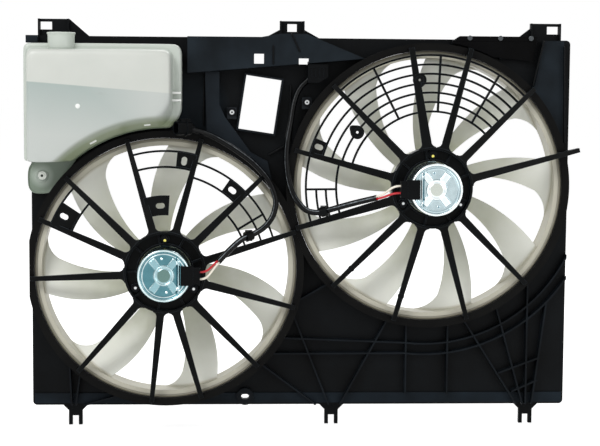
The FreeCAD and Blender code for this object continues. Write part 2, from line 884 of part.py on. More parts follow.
def left_guards(reach):
    """The bars and clip plates between the upper spokes of the left stay."""
    k, l, b, a, c, m = left_spokes[:6]
    arcs = [
        (163.5, b, a), (142.0, b, a), (153.5, l, b), (133.0, l, b), (154.0, k, l), (137.0, k, l),
        (114.0, k, l), (168.0, c, m), (138.0, c, m),
    ]
    parts = [guard_arc(radius * left_scale, start, end, reach) for radius, start, end in arcs]
    parts += [
        guard_slot((142.0, 152.0, 163.5), b, b + 9.5, b + 5.6, 0.0, reach, left_scale),
        guard_slot((77.0, 90.0, 104.0), a - 20.0, a, a - 12.5, 90.0, reach, left_scale),
        guard_slot((133.0, 143.0, 153.5), l, l + 11.0, l + 6.5, 90.0, reach, left_scale),
        guard_slot((138.0, 156.0, 168.0), c + 9.0, m, c + 14.5, 0.0, reach, left_scale),
        guard_rib((k + l) / 2, 114.0 * left_scale, 154.0 * left_scale, reach),
    ]
    return parts


def right_guards(reach):
    """The grille over the top of the right stay, and the bars beside it."""
    c, b, a, e, f, g = right_spokes[1:7]
    parts = []
    for index in range(grille_bars):
        radius = grille_inner + (grille_outer - grille_inner) * index / (grille_bars - 1)
        parts.append(guard_arc(radius, c, e, reach))
    for angle in ((c + b) / 2, (b + a) / 2, (a + e) / 2):
        parts.append(guard_rib(angle, grille_inner, grille_outer, reach))
    for radius in (172.0, 154.0, 141.0, 127.0, 113.0):
        parts.append(guard_arc(radius * right_scale, e, f, reach))
    parts.append(guard_slot((154.0, 163.0, 172.0), f - 8.0, f, f - 4.6, 0.0, reach, right_scale))
    middle = (f + g) / 2
    parts += [guard_arc(radius * right_scale, f, g, reach) for radius in (171.0, 130.0)]
    parts += [guard_arc(radius * right_scale, middle, g, reach) for radius in (157.0, 144.0)]
    parts.append(guard_rib(middle, 130.0 * right_scale, 171.0 * right_scale, reach))
    return parts


def guard_boss_spots():
    """Two open bosses on the right stay's grille."""
    c, b, a, e = right_spokes[1:5]
    pitch = (grille_outer - grille_inner) / (grille_bars - 1)
    return [polar(origin_spot, grille_inner + 1.7 * pitch, e + 9.5),
            polar(origin_spot, grille_inner + 3.4 * pitch, a - 1.5)]


def stay(spoke_angles, opening, guards, widened, longer):
    """A holder with its spokes and guards, about the origin."""
    reach = opening + spoke_overlap
    plain = spoke(opening, reach, 0.0)
    parts = [holder()]
    for index, angle in enumerate(spoke_angles):
        form = plain
        if index in widened or index in longer:
            form = spoke(opening, reach + longer.get(index, 0.0), widened.get(index, 0.0))
        parts.append(spun(form, origin_spot, angle))
    return fuse(parts + guards)


def left_stay():
    guards = left_guards(left_opening_radius + spoke_overlap)
    return place(stay(left_spokes, left_opening_radius, guards, {}, {}), left_axis)


def right_stay():
    reach = right_opening_radius + spoke_overlap
    guards = right_guards(reach)
    holes = []
    for spot in guard_boss_spots():
        far = stay_front(math.hypot(*spot), reach)
        guards.append(disc(spot, guard_boss_radius, far - guard_height - guard_drop, far))
        holes.append(disc(spot, guard_boss_bore, 0, holder_depth))
    nub_place = right_opening_radius - nub_margin
    far = stay_front(nub_place, reach)
    for angle in right_spokes[7:9]:
        spot = polar(origin_spot, nub_place, angle)
        guards.append(disc(spot, nub_radius, far - guard_height, far + guard_drop))
    widened = {3: wide_spoke, 6: wide_spoke / 2}
    longer = {0: long_spoke, 1: side_spoke, 2: side_spoke}
    body = stay(right_spokes, right_opening_radius, guards, widened, longer)
    return place(body.cut(fuse(holes)), right_axis)


# Motors


def motor_can():
    """The drawn steel can, with the three ears that the screws pull against the holder."""
    back = motor_front_depth
    front = cap_depth - cap_thickness
    parts = [
        tube(origin_spot, can_radius, can_radius - can_wall, back, front),
        tube(origin_spot, can_radius - can_wall / 2, bearing_radius + running_gap, back, back + can_wall),
    ]
    spots = [polar(origin_spot, bolt_radius, angle) for angle in bolt_angles]
    near, far = ear_depth - ear_thickness, ear_depth
    for spot, angle in zip(spots, bolt_angles):
        inner = polar(origin_spot, can_radius - can_wall / 2, angle)
        parts.append(wall_between(inner, spot, 2 * ear_half_width, near, far))
        parts.append(disc(spot, ear_half_width, near, far))
    inside = disc(origin_spot, can_radius - can_wall, back + can_wall, front + 1)
    holes = [disc(spot, screw_radius + running_gap, 0, holder_depth) for spot in spots]
    return fuse(parts).cut(fuse([inside] + holes))


def motor_end_cap():
    """The pressed end plate: rolled rim, cross of pressed bars, bearing boss, flat for the connector."""
    back = cap_depth - cap_thickness
    boss_front = cap_depth + cap_boss_rise
    parts = [
        disc(origin_spot, can_radius, back, cap_depth - cap_press),
        tube(origin_spot, can_radius, can_radius - cap_rim, back, cap_depth),
        disc(origin_spot, cap_boss_radius, back, boss_front),
    ]
    for angle in (45.0, 135.0, 225.0, 315.0):
        start = polar(origin_spot, cap_boss_radius - 1.0, angle)
        end = polar(origin_spot, can_radius - cap_rim / 2, angle)
        parts.append(wall_between(start, end, cap_bar_width, back, cap_depth))
    recess = disc(origin_spot, bearing_radius + running_gap, back - 1, boss_front - cap_press)
    flat = block(connector_flat, can_radius + 1, -can_radius, can_radius, back - 1, cap_depth + 1)
    return fuse(parts).cut(fuse([recess, flat]))


def motor_connector():
    """The terminal block on the can's flat, with a socket for two leads."""
    step = cap_depth - cap_thickness
    front = cap_depth + connector_rise
    back = step - connector_drop
    side = can_radius + fit_gap
    reach = can_radius + connector_reach
    half = connector_half
    top = block(connector_flat + fit_gap, reach, -half, half, step + running_gap, front)
    bridge = block(side, reach, -half, half, back, step + 1.0)
    nose = block(side, connector_end, connector_wall - half, half - connector_wall, back, front - 1.0)
    inset = 2 * connector_wall
    socket = block(reach + 1.0, connector_end + 1, inset - half, half - inset, back + connector_wall,
                   front - 1.0 - connector_wall)
    return fuse([top, bridge, nose]).cut(socket)


def motor_magnets():
    """Four curved magnets inside the can."""
    near = motor_front_depth + can_wall + magnet_space
    far = core_front_depth + winding_step
    inner = magnet_radius - magnet_thickness
    start = (90.0 - magnet_sweep) / 2
    forms = [
        sector(origin_spot, inner, magnet_radius, start + 90.0 * index,
               start + magnet_sweep + 90.0 * index, near, far)
        for index in range(4)
    ]
    return Part.makeCompound(forms)


def armature():
    """The slotted core on the shaft, with its winding ends."""
    outer = magnet_radius - magnet_thickness - air_gap
    near, far = core_back_depth, core_front_depth
    slots = []
    for index in range(core_slots):
        angle = 360.0 * index / core_slots
        bottom = polar(origin_spot, (outer + shaft_radius) / 2, angle)
        slots.append(wall_between(bottom, polar(origin_spot, outer + 1, angle), core_slot_width, near - 1,
                                  far + 1))
    core = disc(origin_spot, outer, near, far).cut(fuse(slots))
    ends = [
        disc(origin_spot, outer - winding_step, near - winding_end, near),
        disc(origin_spot, outer - winding_step, far, far + winding_end),
    ]
    return core.multiFuse(ends).cut(disc(origin_spot, shaft_radius + running_gap, 0, cap_depth))


def commutator():
    """The copper segments that the brushes bear on."""
    body = disc(origin_spot, commutator_radius, commutator_depth, commutator_depth + commutator_length)
    cuts = [disc(origin_spot, shaft_radius + running_gap, 0, cap_depth)]
    for index in range(core_slots):
        angle = 360.0 * (index + 0.5) / core_slots
        start = polar(origin_spot, commutator_radius - 1.2, angle)
        end = polar(origin_spot, commutator_radius + 1, angle)
        cuts.append(wall_between(start, end, 2 * fit_gap, 0, cap_depth))
    return body.cut(fuse(cuts))


def brush_space(inner, outer, width, near, far):
    """Two bars across the commutator, one above it and one below."""
    forms = []
    for angle in (90.0, 270.0):
        start = polar(origin_spot, inner, angle)
        forms.append(wall_between(start, polar(origin_spot, outer, angle), width, near, far))
    return forms


def brush_holder():
    """The insulating plate with two brush boxes."""
    front = commutator_depth + commutator_length
    near = front - brush_plate
    inner = commutator_radius + brush_box_wall
    outer = magnet_radius - brush_box_wall
    board = tube(origin_spot, magnet_radius, inner, near, front)
    width = brush_size + 2 * brush_box_wall
    boxes = brush_space(inner + 0.5, outer, width, near - brush_size - brush_box_wall, near)
    holes = brush_space(inner - 1.0, outer - brush_box_wall, brush_size + fit_gap,
                        near - brush_size - running_gap, near)
    return fuse([board] + boxes).cut(fuse(holes))


def motor_brushes():
    """Two carbon brushes bearing on the commutator."""
    far = commutator_depth + commutator_length - brush_plate
    inner = commutator_radius + 2 * running_gap
    outer = magnet_radius - 2 * brush_box_wall - fit_gap
    return Part.makeCompound(brush_space(inner, outer, brush_size, far - brush_size, far - running_gap))


def bearing(near):
    """A shaft bearing with its inner bore running on the shaft."""
    return tube(origin_spot, bearing_radius, shaft_radius + running_gap, near, near + bearing_length)


def motor_shaft():
    """The steel shaft, threaded end towards the radiator, with a shoulder behind the hub."""
    rear = cap_depth - cap_thickness + bearing_length
    rod = disc(origin_spot, shaft_radius, boss_back_depth - nut_height - shaft_shoulder, rear - fit_gap)
    return rod.multiFuse([disc(origin_spot, shaft_radius + shaft_shoulder, hub_web_front,
                               hub_web_front + shaft_radius)])


def motor_screws():
    """Three screws that hold a motor, heads on the engine side."""
    forms = []
    for angle in bolt_angles:
        spot = polar(origin_spot, bolt_radius, angle)
        shank = disc(spot, screw_radius, ear_depth - ear_thickness - shaft_shoulder, screw_seat_depth)
        flange = disc(spot, screw_head_radius, screw_seat_depth, screw_seat_depth + 1.0)
        head = hexagon(spot, screw_head_radius - 0.8, screw_seat_depth + 1.0,
                       screw_seat_depth + screw_head_height)
        forms.append(fuse([shank, flange, head]))
    return Part.makeCompound(forms)


# Fans


def blade_slab(centre_root, centre_tip, root, tip):
    """A twisted sheet that a blade is cut from. Its mid line leans from root to tip."""
    middle_depth = (band_back_depth + band_front_depth) / 2 + 1.5
    wires = []
    for share in (-0.08, 0.22, 0.48, 0.74, 1.06):
        radius = root + (tip - root) * share
        angle = centre_root + (centre_tip - centre_root) * share
        spot = polar(origin_spot, radius, angle)
        across = polar(origin_spot, 1.0, angle + 90.0)
        back = radius * math.tan(math.radians(25.0))
        ahead = radius * math.tan(math.radians(20.0))
        corners = []
        for run, lift in ((-back, -0.5), (ahead, -0.5), (ahead, 0.5), (-back, 0.5)):
            depth = middle_depth + blade_pitch * run / radius + lift * blade_thickness
            corners.append(at(spot[0] + across[0] * run, depth, spot[1] + across[1] * run))
        wires.append(Part.makePolygon(corners + corners[:1]))
    return Part.makeLoft(wires, True, False)


def blade_plan(root, tip, lead, trail, blend):
    """A blade's outline seen along the axis: angles at the root, middle and tip of each edge."""
    middle = (root + tip) / 2
    start = tip - blade_fillet
    points = [
        polar(origin_spot, tip, trail[2]) + polar(origin_spot, middle, trail[1]),
        arc_to(origin_spot, tip, trail[2], blend[1]),
        polar(origin_spot, start, lead[2]) + polar(origin_spot, tip - blade_fillet * 0.38, blend[0]),
        polar(origin_spot, root, lead[0]) + polar(origin_spot, middle, lead[1]),
        arc_to(origin_spot, root, lead[0], trail[0]),
    ]
    return plate(points, 0, holder_depth)


def hub():
    """The hub cup, open towards the motor, with a boss for the shaft and inner ribs."""
    inner = hub_radius - hub_wall
    cup = disc(origin_spot, hub_radius, hub_back_depth, hub_front_depth)
    cup = cup.cut(disc(origin_spot, inner, hub_web_front, hub_front_depth + 1))
    parts = [cup, disc(origin_spot, hub_boss_radius, boss_back_depth, hub_web_front)]
    for index in range(hub_ribs):
        angle = 360.0 * index / hub_ribs
        start = polar(origin_spot, hub_boss_radius, angle)
        end = polar(origin_spot, hub_radius - hub_wall / 2, angle)
        parts.append(wall_between(start, end, rib_thickness, hub_web_front - 1.0,
                                  hub_web_front + hub_rib_depth))
    return parts


def fan(opening, blades, lead, trail, blend):
    """A ringed fan about the origin: hub cup, blades and outer band."""
    flange = opening - tip_gap
    inner = flange - band_flange
    root = hub_radius - hub_wall / 2
    tip = inner + band_wall / 2
    slab = blade_slab((lead[0] + trail[0]) / 2, (lead[2] + trail[2]) / 2 - 2.0, root, tip)
    depths = disc(origin_spot, tip, band_back_depth + blade_trim, band_front_depth - blade_trim)
    blade = slab.common(blade_plan(root, tip, lead, trail, blend)).common(depths)
    parts = hub()
    parts.append(tube(origin_spot, inner + band_wall, inner, band_back_depth, band_front_depth))
    parts.append(tube(origin_spot, flange, inner, band_front_depth - band_wall, band_front_depth))
    parts += [spun(blade, origin_spot, 360.0 * index / blades) for index in range(blades)]
    return fuse(parts).cut(disc(origin_spot, shaft_radius + running_gap, 0, hub_front_depth + 1))


def fan_nut():
    """The flanged nut that holds a fan on its shaft."""
    seat = boss_back_depth - nut_flange
    body = hexagon(origin_spot, nut_radius, boss_back_depth - nut_height, seat)
    flange = disc(origin_spot, nut_radius + nut_flange, seat, boss_back_depth)
    return fuse([body, flange]).cut(disc(origin_spot, shaft_radius + running_gap, 0, hub_front_depth))


# Reservoir


def tank_outline(depth, left, right, top, arc_radius, low_angle):
    """One outline of the tank: straight at the top and sides, curved over the left opening's ring."""
    lean = math.degrees(math.asin((right - tank_corner_width - left_axis[0]) / arc_radius))
    start = polar(left_axis, arc_radius, 90.0 - lean)
    return outline([
        (left, top),
        (right, top),
        (right, start[1] + tank_corner_height),
        start,
        arc_to(left_axis, arc_radius, 90.0 - lean, low_angle),
        (left, polar(left_axis, arc_radius, low_angle)[1]),
    ], depth)


def tank_body(inset):
    """The tank's outer form, or the space inside it for an inset of its wall."""
    left = tank_left + inset
    right = tank_right - inset
    top = side_top - tank_drop - inset
    radius = left_opening_radius + lip_width + tank_ring_gap + inset
    back_depth = tank_back_depth + inset
    back = tank_outline(back_depth, left, right, top, radius, tank_low_angle)
    shoulder = tank_outline(tank_shoulder_depth, left, right, top, radius, tank_low_angle)
    front = tank_outline(tank_front_depth - inset, left + tank_draft, right - tank_side_draft,
                         top - tank_draft + 1.0, radius + tank_rise, tank_low_angle - 6.0)
    base = Part.Face(back).extrude(FreeCAD.Vector(0, back_depth - tank_shoulder_depth, 0))
    return base.multiFuse([Part.makeLoft([shoulder, front], True, True)])


def tank_tab_form():
    """The tab at the tank's lower left, with its screw hole."""
    low = polar(left_axis, left_opening_radius + lip_width + tank_ring_gap, tank_low_angle)[1] + 4.0
    x, z = tank_screw
    points = [
        (x - 10.0, low),
        (x - 10.0, z - 8.0),
        (x + 1.0, z - 20.0, x - 6.5, z - 16.8),
        (x + 22.0, z - 10.0),
        (x + 28.0, low),
    ]
    front = tank_back_depth + tank_tab
    pad = disc(tank_screw, screw_head_radius + wall, tank_back_depth, front + 1.0)
    return plate(points, tank_back_depth, front).multiFuse([pad])


def reservoir_tank():
    """The blow-moulded coolant reservoir, with its filler neck and its screw tab."""
    spot = at(tank_left + neck_place, neck_depth, side_top - tank_drop - tank_wall)
    up = FreeCAD.Vector(0, 0, 1)
    length = neck_height + tank_wall
    stem = Part.makeCylinder(neck_radius, length, spot, up)
    lip = Part.makeCylinder(neck_radius + neck_lip, neck_lip_height,
                            spot + up * (length - neck_lip_height), up)
    collar = Part.makeCylinder(neck_radius + neck_lip * 0.7, neck_lip_height,
                               spot + up * (tank_wall + 1.5), up)
    bore = Part.makeCylinder(neck_bore, length + 2.0, spot - up, up)
    ribs = []
    for index in range(2):
        z = side_top - tank_rib_drop - tank_rib_pitch * index
        ribs.append(wall_between((tank_right - tank_side_draft - 4.0, z), (tank_right - 5.0, z), tank_wall,
                                 tank_shoulder_depth, tank_shoulder_depth + tank_rib_pitch))
    outer = fuse([tank_body(0.0), stem, lip, collar, tank_tab_form()] + ribs)
    hole = disc(tank_screw, screw_radius + fit_gap, 0, tank_front_depth)
    return outer.cut(fuse([tank_body(tank_wall), bore])).cut(hole)


def flanged_screw(spot, tip, seat):
    """A screw with a washer face, from its tip to the depth where its head seats."""
    shank = disc(spot, screw_radius, tip, seat)
    washer = disc(spot, screw_head_radius + 1.2, seat, seat + 1.0)
    head = hexagon(spot, screw_head_radius - 0.5, seat + 1.0, seat + screw_head_height)
    return fuse([shank, washer, head])


def module_screws():
    seat = clip_depth + clip_nut_thickness
    return Part.makeCompound([flanged_screw(spot, skin_back - wall, seat) for spot in clip_spots])


def clip_nuts():
    """Two pressed clip nuts under the module screws."""
    half = clip_nut_width / 2
    forms = []
    for spot in clip_spots:
        body = block(spot[0] - half, spot[0] + half, spot[1] - half - wall, spot[1] + half,
                     clip_depth, clip_depth + clip_nut_thickness)
        forms.append(body.cut(disc(spot, screw_radius + running_gap, 0, holder_depth)))
    return Part.makeCompound(forms)


# Rubber air flap


def flap_strip():
    """The strip along the flap's top edge, held to the shroud by three pins."""
    strip = plate([
        (flap_left + fit_gap, strip_low),
        (flap_left + flap_slope, flap_top),
        (flap_right, flap_top),
        (flap_right - 1.0, strip_low),
    ], flap_depth, flap_depth + flap_thickness)
    return strip.cut(fuse([disc(spot, pin_radius + running_gap, 0, lip_depth) for spot in pin_spots]))


def rubber_flap():
    """The swinging part of the rubber flap, cut to clear the right opening's lip."""
    high = strip_low - fit_gap
    reach = right_opening_radius + lip_width + flap_ring_gap
    start_x = flap_left + fit_gap
    turn_start = math.degrees(math.acos((start_x - right_axis[0]) / reach))
    turn_end = turn_start - flap_sweep
    return plate([
        (start_x, high),
        (flap_right - 1.0, high),
        (flap_right - 6.0, flap_top - flap_fall),
        polar(right_axis, reach, turn_end),
        arc_to(right_axis, reach, turn_end, turn_start),
    ], flap_depth, flap_depth + flap_thickness)


def flap_pins():
    """Three push pins through the flap's top strip."""
    front = flap_depth + flap_thickness
    forms = []
    for spot in pin_spots:
        head = disc(spot, pin_head_radius, front, front + pin_head_height)
        forms.append(fuse([disc(spot, pin_radius, skin_back - wall, front), head]))
    return Part.makeCompound(forms)


# Leads


def lead(spots, radius):
    """A round lead: straight runs joined by arcs that are as large as the runs allow."""
    path = []
    radii = []
    start = spots[0]
    for before, corner, after in zip(spots, spots[1:], spots[2:]):
        into = corner - before
        away = after - corner
        cut = 0.45 * min(into.Length, away.Length)
        turn = into.getAngle(away)
        bend = cut / math.tan(turn / 2)
        radii.append(round(bend))
        first = corner - into.normalize() * cut
        last = corner + away.normalize() * cut
        inward = (first + last) * 0.5 - corner
        middle = corner + inward.normalize() * (bend / math.cos(turn / 2) - bend)
        path.append(Part.LineSegment(start, first).toShape())
        path.append(Part.Arc(first, middle, last).toShape())
        start = last
    path.append(Part.LineSegment(start, spots[-1]).toShape())
    wire = Part.Wire(path)
    section = Part.Wire([Part.Circle(spots[0], spots[1] - spots[0], radius).toShape()])
    form = wire.makePipeShell([section], True, False)
    share = form.Volume / (math.pi * radius ** 2 * wire.Length)
    print("lead", round(wire.Length), "mm long, radii", radii, "volume against its length", round(share, 4))
    return form


def plug_axis():
    """Where the left plug's rear face stands, and the way its mouth points."""
    rear = at(tank_right + plug_gap, plug_depth, left_axis[1] + left_route[-1][2] * left_scale + 7.5)
    turn = math.radians(plug_turn)
    return rear, FreeCAD.Vector(-math.cos(turn), -math.sin(turn), 0)


def left_spots():
    """The left sleeve's route, ending a little way into its plug."""
    rear, ahead = plug_axis()
    shift = rear.x - left_axis[0] - plug_run
    shares = [0.0] * (len(left_route) - 2) + [0.5, 1.0]
    spots = [
        at(left_axis[0] + x * left_scale + shift * share, depth, left_axis[1] + z * left_scale)
        for (x, depth, z), share in zip(left_route, shares)
    ]
    return spots + [rear + ahead * plug_entry]


def dock_spot():
    """The lower left corner of the right connector, under the beam."""
    x = right_axis[0] - right_opening_radius + dock_place
    return (x, side_top - dock_drop - dock_height)


def right_spots():
    """The right sleeve's route, ending a little way into its connector."""
    x, z = dock_spot()
    spots = [
        at(right_axis[0] + dx * right_scale, depth, right_axis[1] + dz * right_scale)
        for dx, depth, dz in right_route
    ]
    return spots + [at(x + plug_entry, skin_depth + dock_depth / 2, z + plug_entry + 3.0)]


def sleeve(spots):
    """The woven sleeve around a motor's wires, open at the motor's end."""
    ahead = (spots[1] - spots[0]).normalize()
    bore = Part.makeCylinder(sleeve_radius - sleeve_wall, sleeve_bore_depth, spots[0], ahead)
    return lead(spots, sleeve_radius).cut(bore)


def turned(centre, along, across, depth, turn):
    """A point given along and across an arm that is turned about a fan's axis."""
    x, z = polar(polar(centre, along, turn), across, turn + 90.0)
    return at(x, depth, z)


def wire(centre, turn, side, spots):
    """One motor wire, from the connector's socket into the sleeve; side is 1 or -1."""
    ahead = (spots[1] - spots[0]).normalize()
    across = ahead.cross(FreeCAD.Vector(0, 1, 0)).normalize()
    offset = across * (side * (wire_radius + fit_gap / 2))
    depth = cap_depth - cap_thickness - 1.0
    floor = can_radius + connector_reach + 1.0
    points = [
        turned(centre, floor, side * wire_spread, depth, turn),
        turned(centre, connector_end + wire_straight, side * wire_spread, depth, turn),
        spots[0] + offset - ahead * wire_straight,
        spots[0] + offset + ahead * (sleeve_bore_depth - fit_gap),
    ]
    return lead(points, wire_radius)


def sleeve_clip(spots, index, route, base):
    """A clip around the sleeve at one stretch of its route, standing on the stay."""
    start, end = spots[index], spots[index + 1]
    ahead = (end - start).normalize()
    middle = (start + end) * 0.5
    outer = sleeve_radius + clip_wall
    ring = Part.makeCylinder(outer, clip_length, middle - ahead * (clip_length / 2), ahead)
    half = clip_length / 2
    depth = -middle.y
    stem = block(middle.x - half, middle.x + half, middle.z - outer, middle.z + outer, depth - 2 * outer,
                 depth)
    body = ring.multiFuse([stem]).cut(route).cut(base)
    return max(body.Solids, key=lambda solid: solid.Volume)


def left_plug(route):
    """The left lead's plug: an oval shell with its mouth towards the tank, a collar and a latch."""
    rear, ahead = plug_axis()
    shell = slot_form(origin_spot, plug_height, plug_width, 90.0, 0, plug_length)
    mouth = slot_form(origin_spot, plug_height - 2 * plug_wall, plug_width - 2 * plug_wall, 90.0,
                      plug_length / 2, plug_length + 1)
    pins = slot_form(origin_spot, plug_height / 2, plug_wall, 90.0, plug_length / 2 - 1, plug_length * 0.8)
    collar = slot_form(origin_spot, plug_height + 2 * plug_wall, plug_width + plug_wall, 90.0,
                       plug_length / 3, plug_length / 3 + plug_wall)
    latch = block(-plug_width / 4, plug_width / 4, 0, plug_height / 2 + 2 * plug_wall, 1.0,
                  plug_length * 0.7)
    boot = disc(origin_spot, sleeve_radius + plug_wall, -plug_entry, 0)
    form = fuse([shell, collar, latch, boot]).cut(mouth).multiFuse([pins])
    form.rotate(FreeCAD.Vector(0, 0, 0), FreeCAD.Vector(0, 0, 1), plug_turn - 90.0)
    form.translate(rear)
    return form.cut(route)


def plug_foot(plug, panel_stay):
    """The bracket that holds the left plug up from the ring's lip."""
    rear, ahead = plug_axis()
    spot = polar(left_axis, left_opening_radius + lip_width / 2, 90.0)
    middle = rear + ahead * (plug_length / 3)
    half = plug_width / 3
    top = block(middle.x - half, middle.x + half, spot[1], middle.z, lip_depth, -middle.y)
    return max(top.cut(fuse([plug, panel_stay])).Solids, key=lambda solid: solid.Volume)


def right_plug(route):
    """The right lead's connector, clipped in the pocket under the beam."""
    x, z = dock_spot()
    front = skin_depth + dock_depth
    body = block(x, x + dock_width, z, z + dock_height, skin_depth, front)
    corner = plate([
        (x + dock_width / 2, z - 1),
        (x + dock_width + 1, z - 1),
        (x + dock_width + 1, z + dock_height * 0.35),
    ], skin_depth - 1, front + 1)
    cap = slot_form((x + dock_width / 2, z + dock_height - 2.0), dock_width, 5.0, 0.0, skin_depth,
                    front + plug_wall)
    ribs = []
    for index in range(4):
        rib_x = x + dock_width * (index + 1) / 5
        ribs.append(wall_between((rib_x, z + 8.0), (rib_x, z + dock_height - 4.0), plug_wall, front - 1,
                                 front + plug_wall))
    return body.cut(corner).multiFuse([cap] + ribs).cut(route)


os.makedirs("parts", exist_ok=True)
save(shroud_panel(), "shroud_panel")
save(opening_ring(left_axis, left_opening_radius, -1), "left_opening_ring")
save(opening_ring(right_axis, right_opening_radius, 1), "right_opening_ring")
left_base = left_stay()
right_base = right_stay()
save(left_base, "left_stay")
save(right_base, "right_stay")
for side, centre, turn in (("left", left_axis, 0.0), ("right", right_axis, 180.0)):
    pieces = {
        "motor_can": motor_can(),
        "motor_end_cap": spun(motor_end_cap(), origin_spot, turn),
        "motor_connector": spun(motor_connector(), origin_spot, turn),
        "motor_magnets": motor_magnets(),
        "brush_holder": brush_holder(),
        "motor_brushes": motor_brushes(),
        "front_bearing": bearing(motor_front_depth),
        "rear_bearing": bearing(cap_depth - cap_thickness),
        "motor_screws": motor_screws(),
        "armature": armature(),
        "commutator": commutator(),
        "motor_shaft": motor_shaft(),
        "fan_nut": fan_nut(),
    }
    for name, form in pieces.items():
        save(place(form, centre), side + "_" + name)
save(place(fan(left_opening_radius, left_blades, left_lead, left_trail, left_blend), left_axis), "left_fan")
save(place(fan(right_opening_radius, right_blades, right_lead, right_trail, right_blend), right_axis),
     "right_fan")
save(reservoir_tank(), "reservoir_tank")
save(flanged_screw(tank_screw, skin_back - wall, tank_back_depth + tank_tab + 1.0), "tank_screw")
save(module_screws(), "module_screws")
save(clip_nuts(), "clip_nuts")
save(flap_strip(), "flap_strip")
save(rubber_flap(), "rubber_flap")
save(flap_pins(), "flap_pins")

left_path = left_spots()
right_path = right_spots()
left_space = lead(left_path, sleeve_radius + running_gap)
right_space = lead(right_path, sleeve_radius + running_gap)
left_connector = left_plug(left_space)
save(sleeve(left_path), "left_sleeve")
save(sleeve(right_path), "right_sleeve")
save(sleeve_clip(left_path, 2, left_space, left_base), "left_sleeve_clip")
save(sleeve_clip(right_path, 2, right_space, right_base), "right_sleeve_clip")
save(left_connector, "left_plug")
save(right_plug(right_space), "right_plug")
save(plug_foot(left_connector, left_base), "plug_bracket")
save(wire(left_axis, 0.0, 1, left_path), "left_red_wire")
save(wire(left_axis, 0.0, -1, left_path), "left_white_wire")
save(wire(right_axis, 180.0, 1, right_path), "right_red_wire")
save(wire(right_axis, 180.0, -1, right_path), "right_white_wire")
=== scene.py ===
import math

import bmesh
import bpy
from mathutils import Matrix, Vector


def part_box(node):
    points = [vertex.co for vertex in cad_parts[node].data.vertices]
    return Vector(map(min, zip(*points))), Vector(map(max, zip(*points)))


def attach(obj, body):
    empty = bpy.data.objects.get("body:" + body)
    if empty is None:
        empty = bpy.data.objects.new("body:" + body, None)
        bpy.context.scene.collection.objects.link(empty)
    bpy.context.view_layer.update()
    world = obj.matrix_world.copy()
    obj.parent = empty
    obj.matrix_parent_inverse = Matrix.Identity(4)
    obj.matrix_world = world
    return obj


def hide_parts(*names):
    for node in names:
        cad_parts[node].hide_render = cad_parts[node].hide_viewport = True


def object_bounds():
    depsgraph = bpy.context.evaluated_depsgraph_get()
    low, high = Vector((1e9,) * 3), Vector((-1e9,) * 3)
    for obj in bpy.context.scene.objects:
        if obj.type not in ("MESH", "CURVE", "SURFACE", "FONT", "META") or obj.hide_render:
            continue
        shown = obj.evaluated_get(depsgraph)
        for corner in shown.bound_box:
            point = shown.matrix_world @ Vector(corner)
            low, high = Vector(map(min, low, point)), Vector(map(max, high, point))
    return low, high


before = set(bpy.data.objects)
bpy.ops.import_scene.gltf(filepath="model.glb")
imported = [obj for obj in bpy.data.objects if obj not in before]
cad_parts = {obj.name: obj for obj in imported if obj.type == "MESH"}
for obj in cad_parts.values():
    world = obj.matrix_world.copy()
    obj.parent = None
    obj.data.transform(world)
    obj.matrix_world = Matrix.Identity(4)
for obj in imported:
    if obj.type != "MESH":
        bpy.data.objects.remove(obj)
cad_low, cad_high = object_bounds()


# Camera: a long lens about two metres in front of the engine side, a little above the middle and
# turned down, as the unit was photographed. It leans by under half a degree.

camera = bpy.data.objects.new("camera", bpy.data.cameras.new("camera"))
bpy.context.scene.collection.objects.link(camera)
camera.data.sensor_width = 36.0
camera.data.lens = 90.2
camera.matrix_world = (
    Matrix.Translation((-0.1156, -2.132, 0.1755))
    @ Matrix.Rotation(math.radians(-3.085), 4, "Z")
    @ Matrix.Rotation(math.radians(-4.77), 4, "X")
    @ Matrix.Rotation(math.radians(-0.44), 4, "Y")
    @ Matrix.Rotation(math.radians(90.0), 4, "X")
)
bpy.context.scene.camera = camera


# Shroud panel: talc-filled polypropylene, injection moulded in one piece with its ribs and the
# rings round its openings. It is a soft satin black with a fine spark-eroded grain, and its
# moulded edges are rounded and catch the light.

def linear(code):
    """The linear colour of an sRGB hex code."""
    parts = [int(code[i:i + 2], 16) / 255 for i in (1, 3, 5)]
    return [c / 12.92 if c <= 0.04045 else ((c + 0.055) / 1.055) ** 2.4 for c in parts] + [1.0]


def add(tree, kind, inputs, **settings):
    """Adds a shader node with its settings; an input is set to a value or linked to an output."""
    made = tree.nodes.new("ShaderNode" + kind)
    for name, value in settings.items():
        setattr(made, name, value)
    for name, value in inputs.items():
        if isinstance(value, bpy.types.NodeSocket):
            tree.links.new(value, made.inputs[name])
        else:
            made.inputs[name].default_value = value
    return made


def finish_nodes(material, *names):
    """Gives CAD nodes a finished material."""
    for name in names:
        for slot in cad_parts[name].material_slots:
            slot.link = "OBJECT"
            slot.material = material


def blank(name):
    """An empty material, its tree, and the place of a point in metres."""
    material = bpy.data.materials.new(name)
    material.use_nodes = True
    tree = material.node_tree
    tree.nodes.clear()
    return material, tree, add(tree, "TexCoord", {}).outputs["Object"]


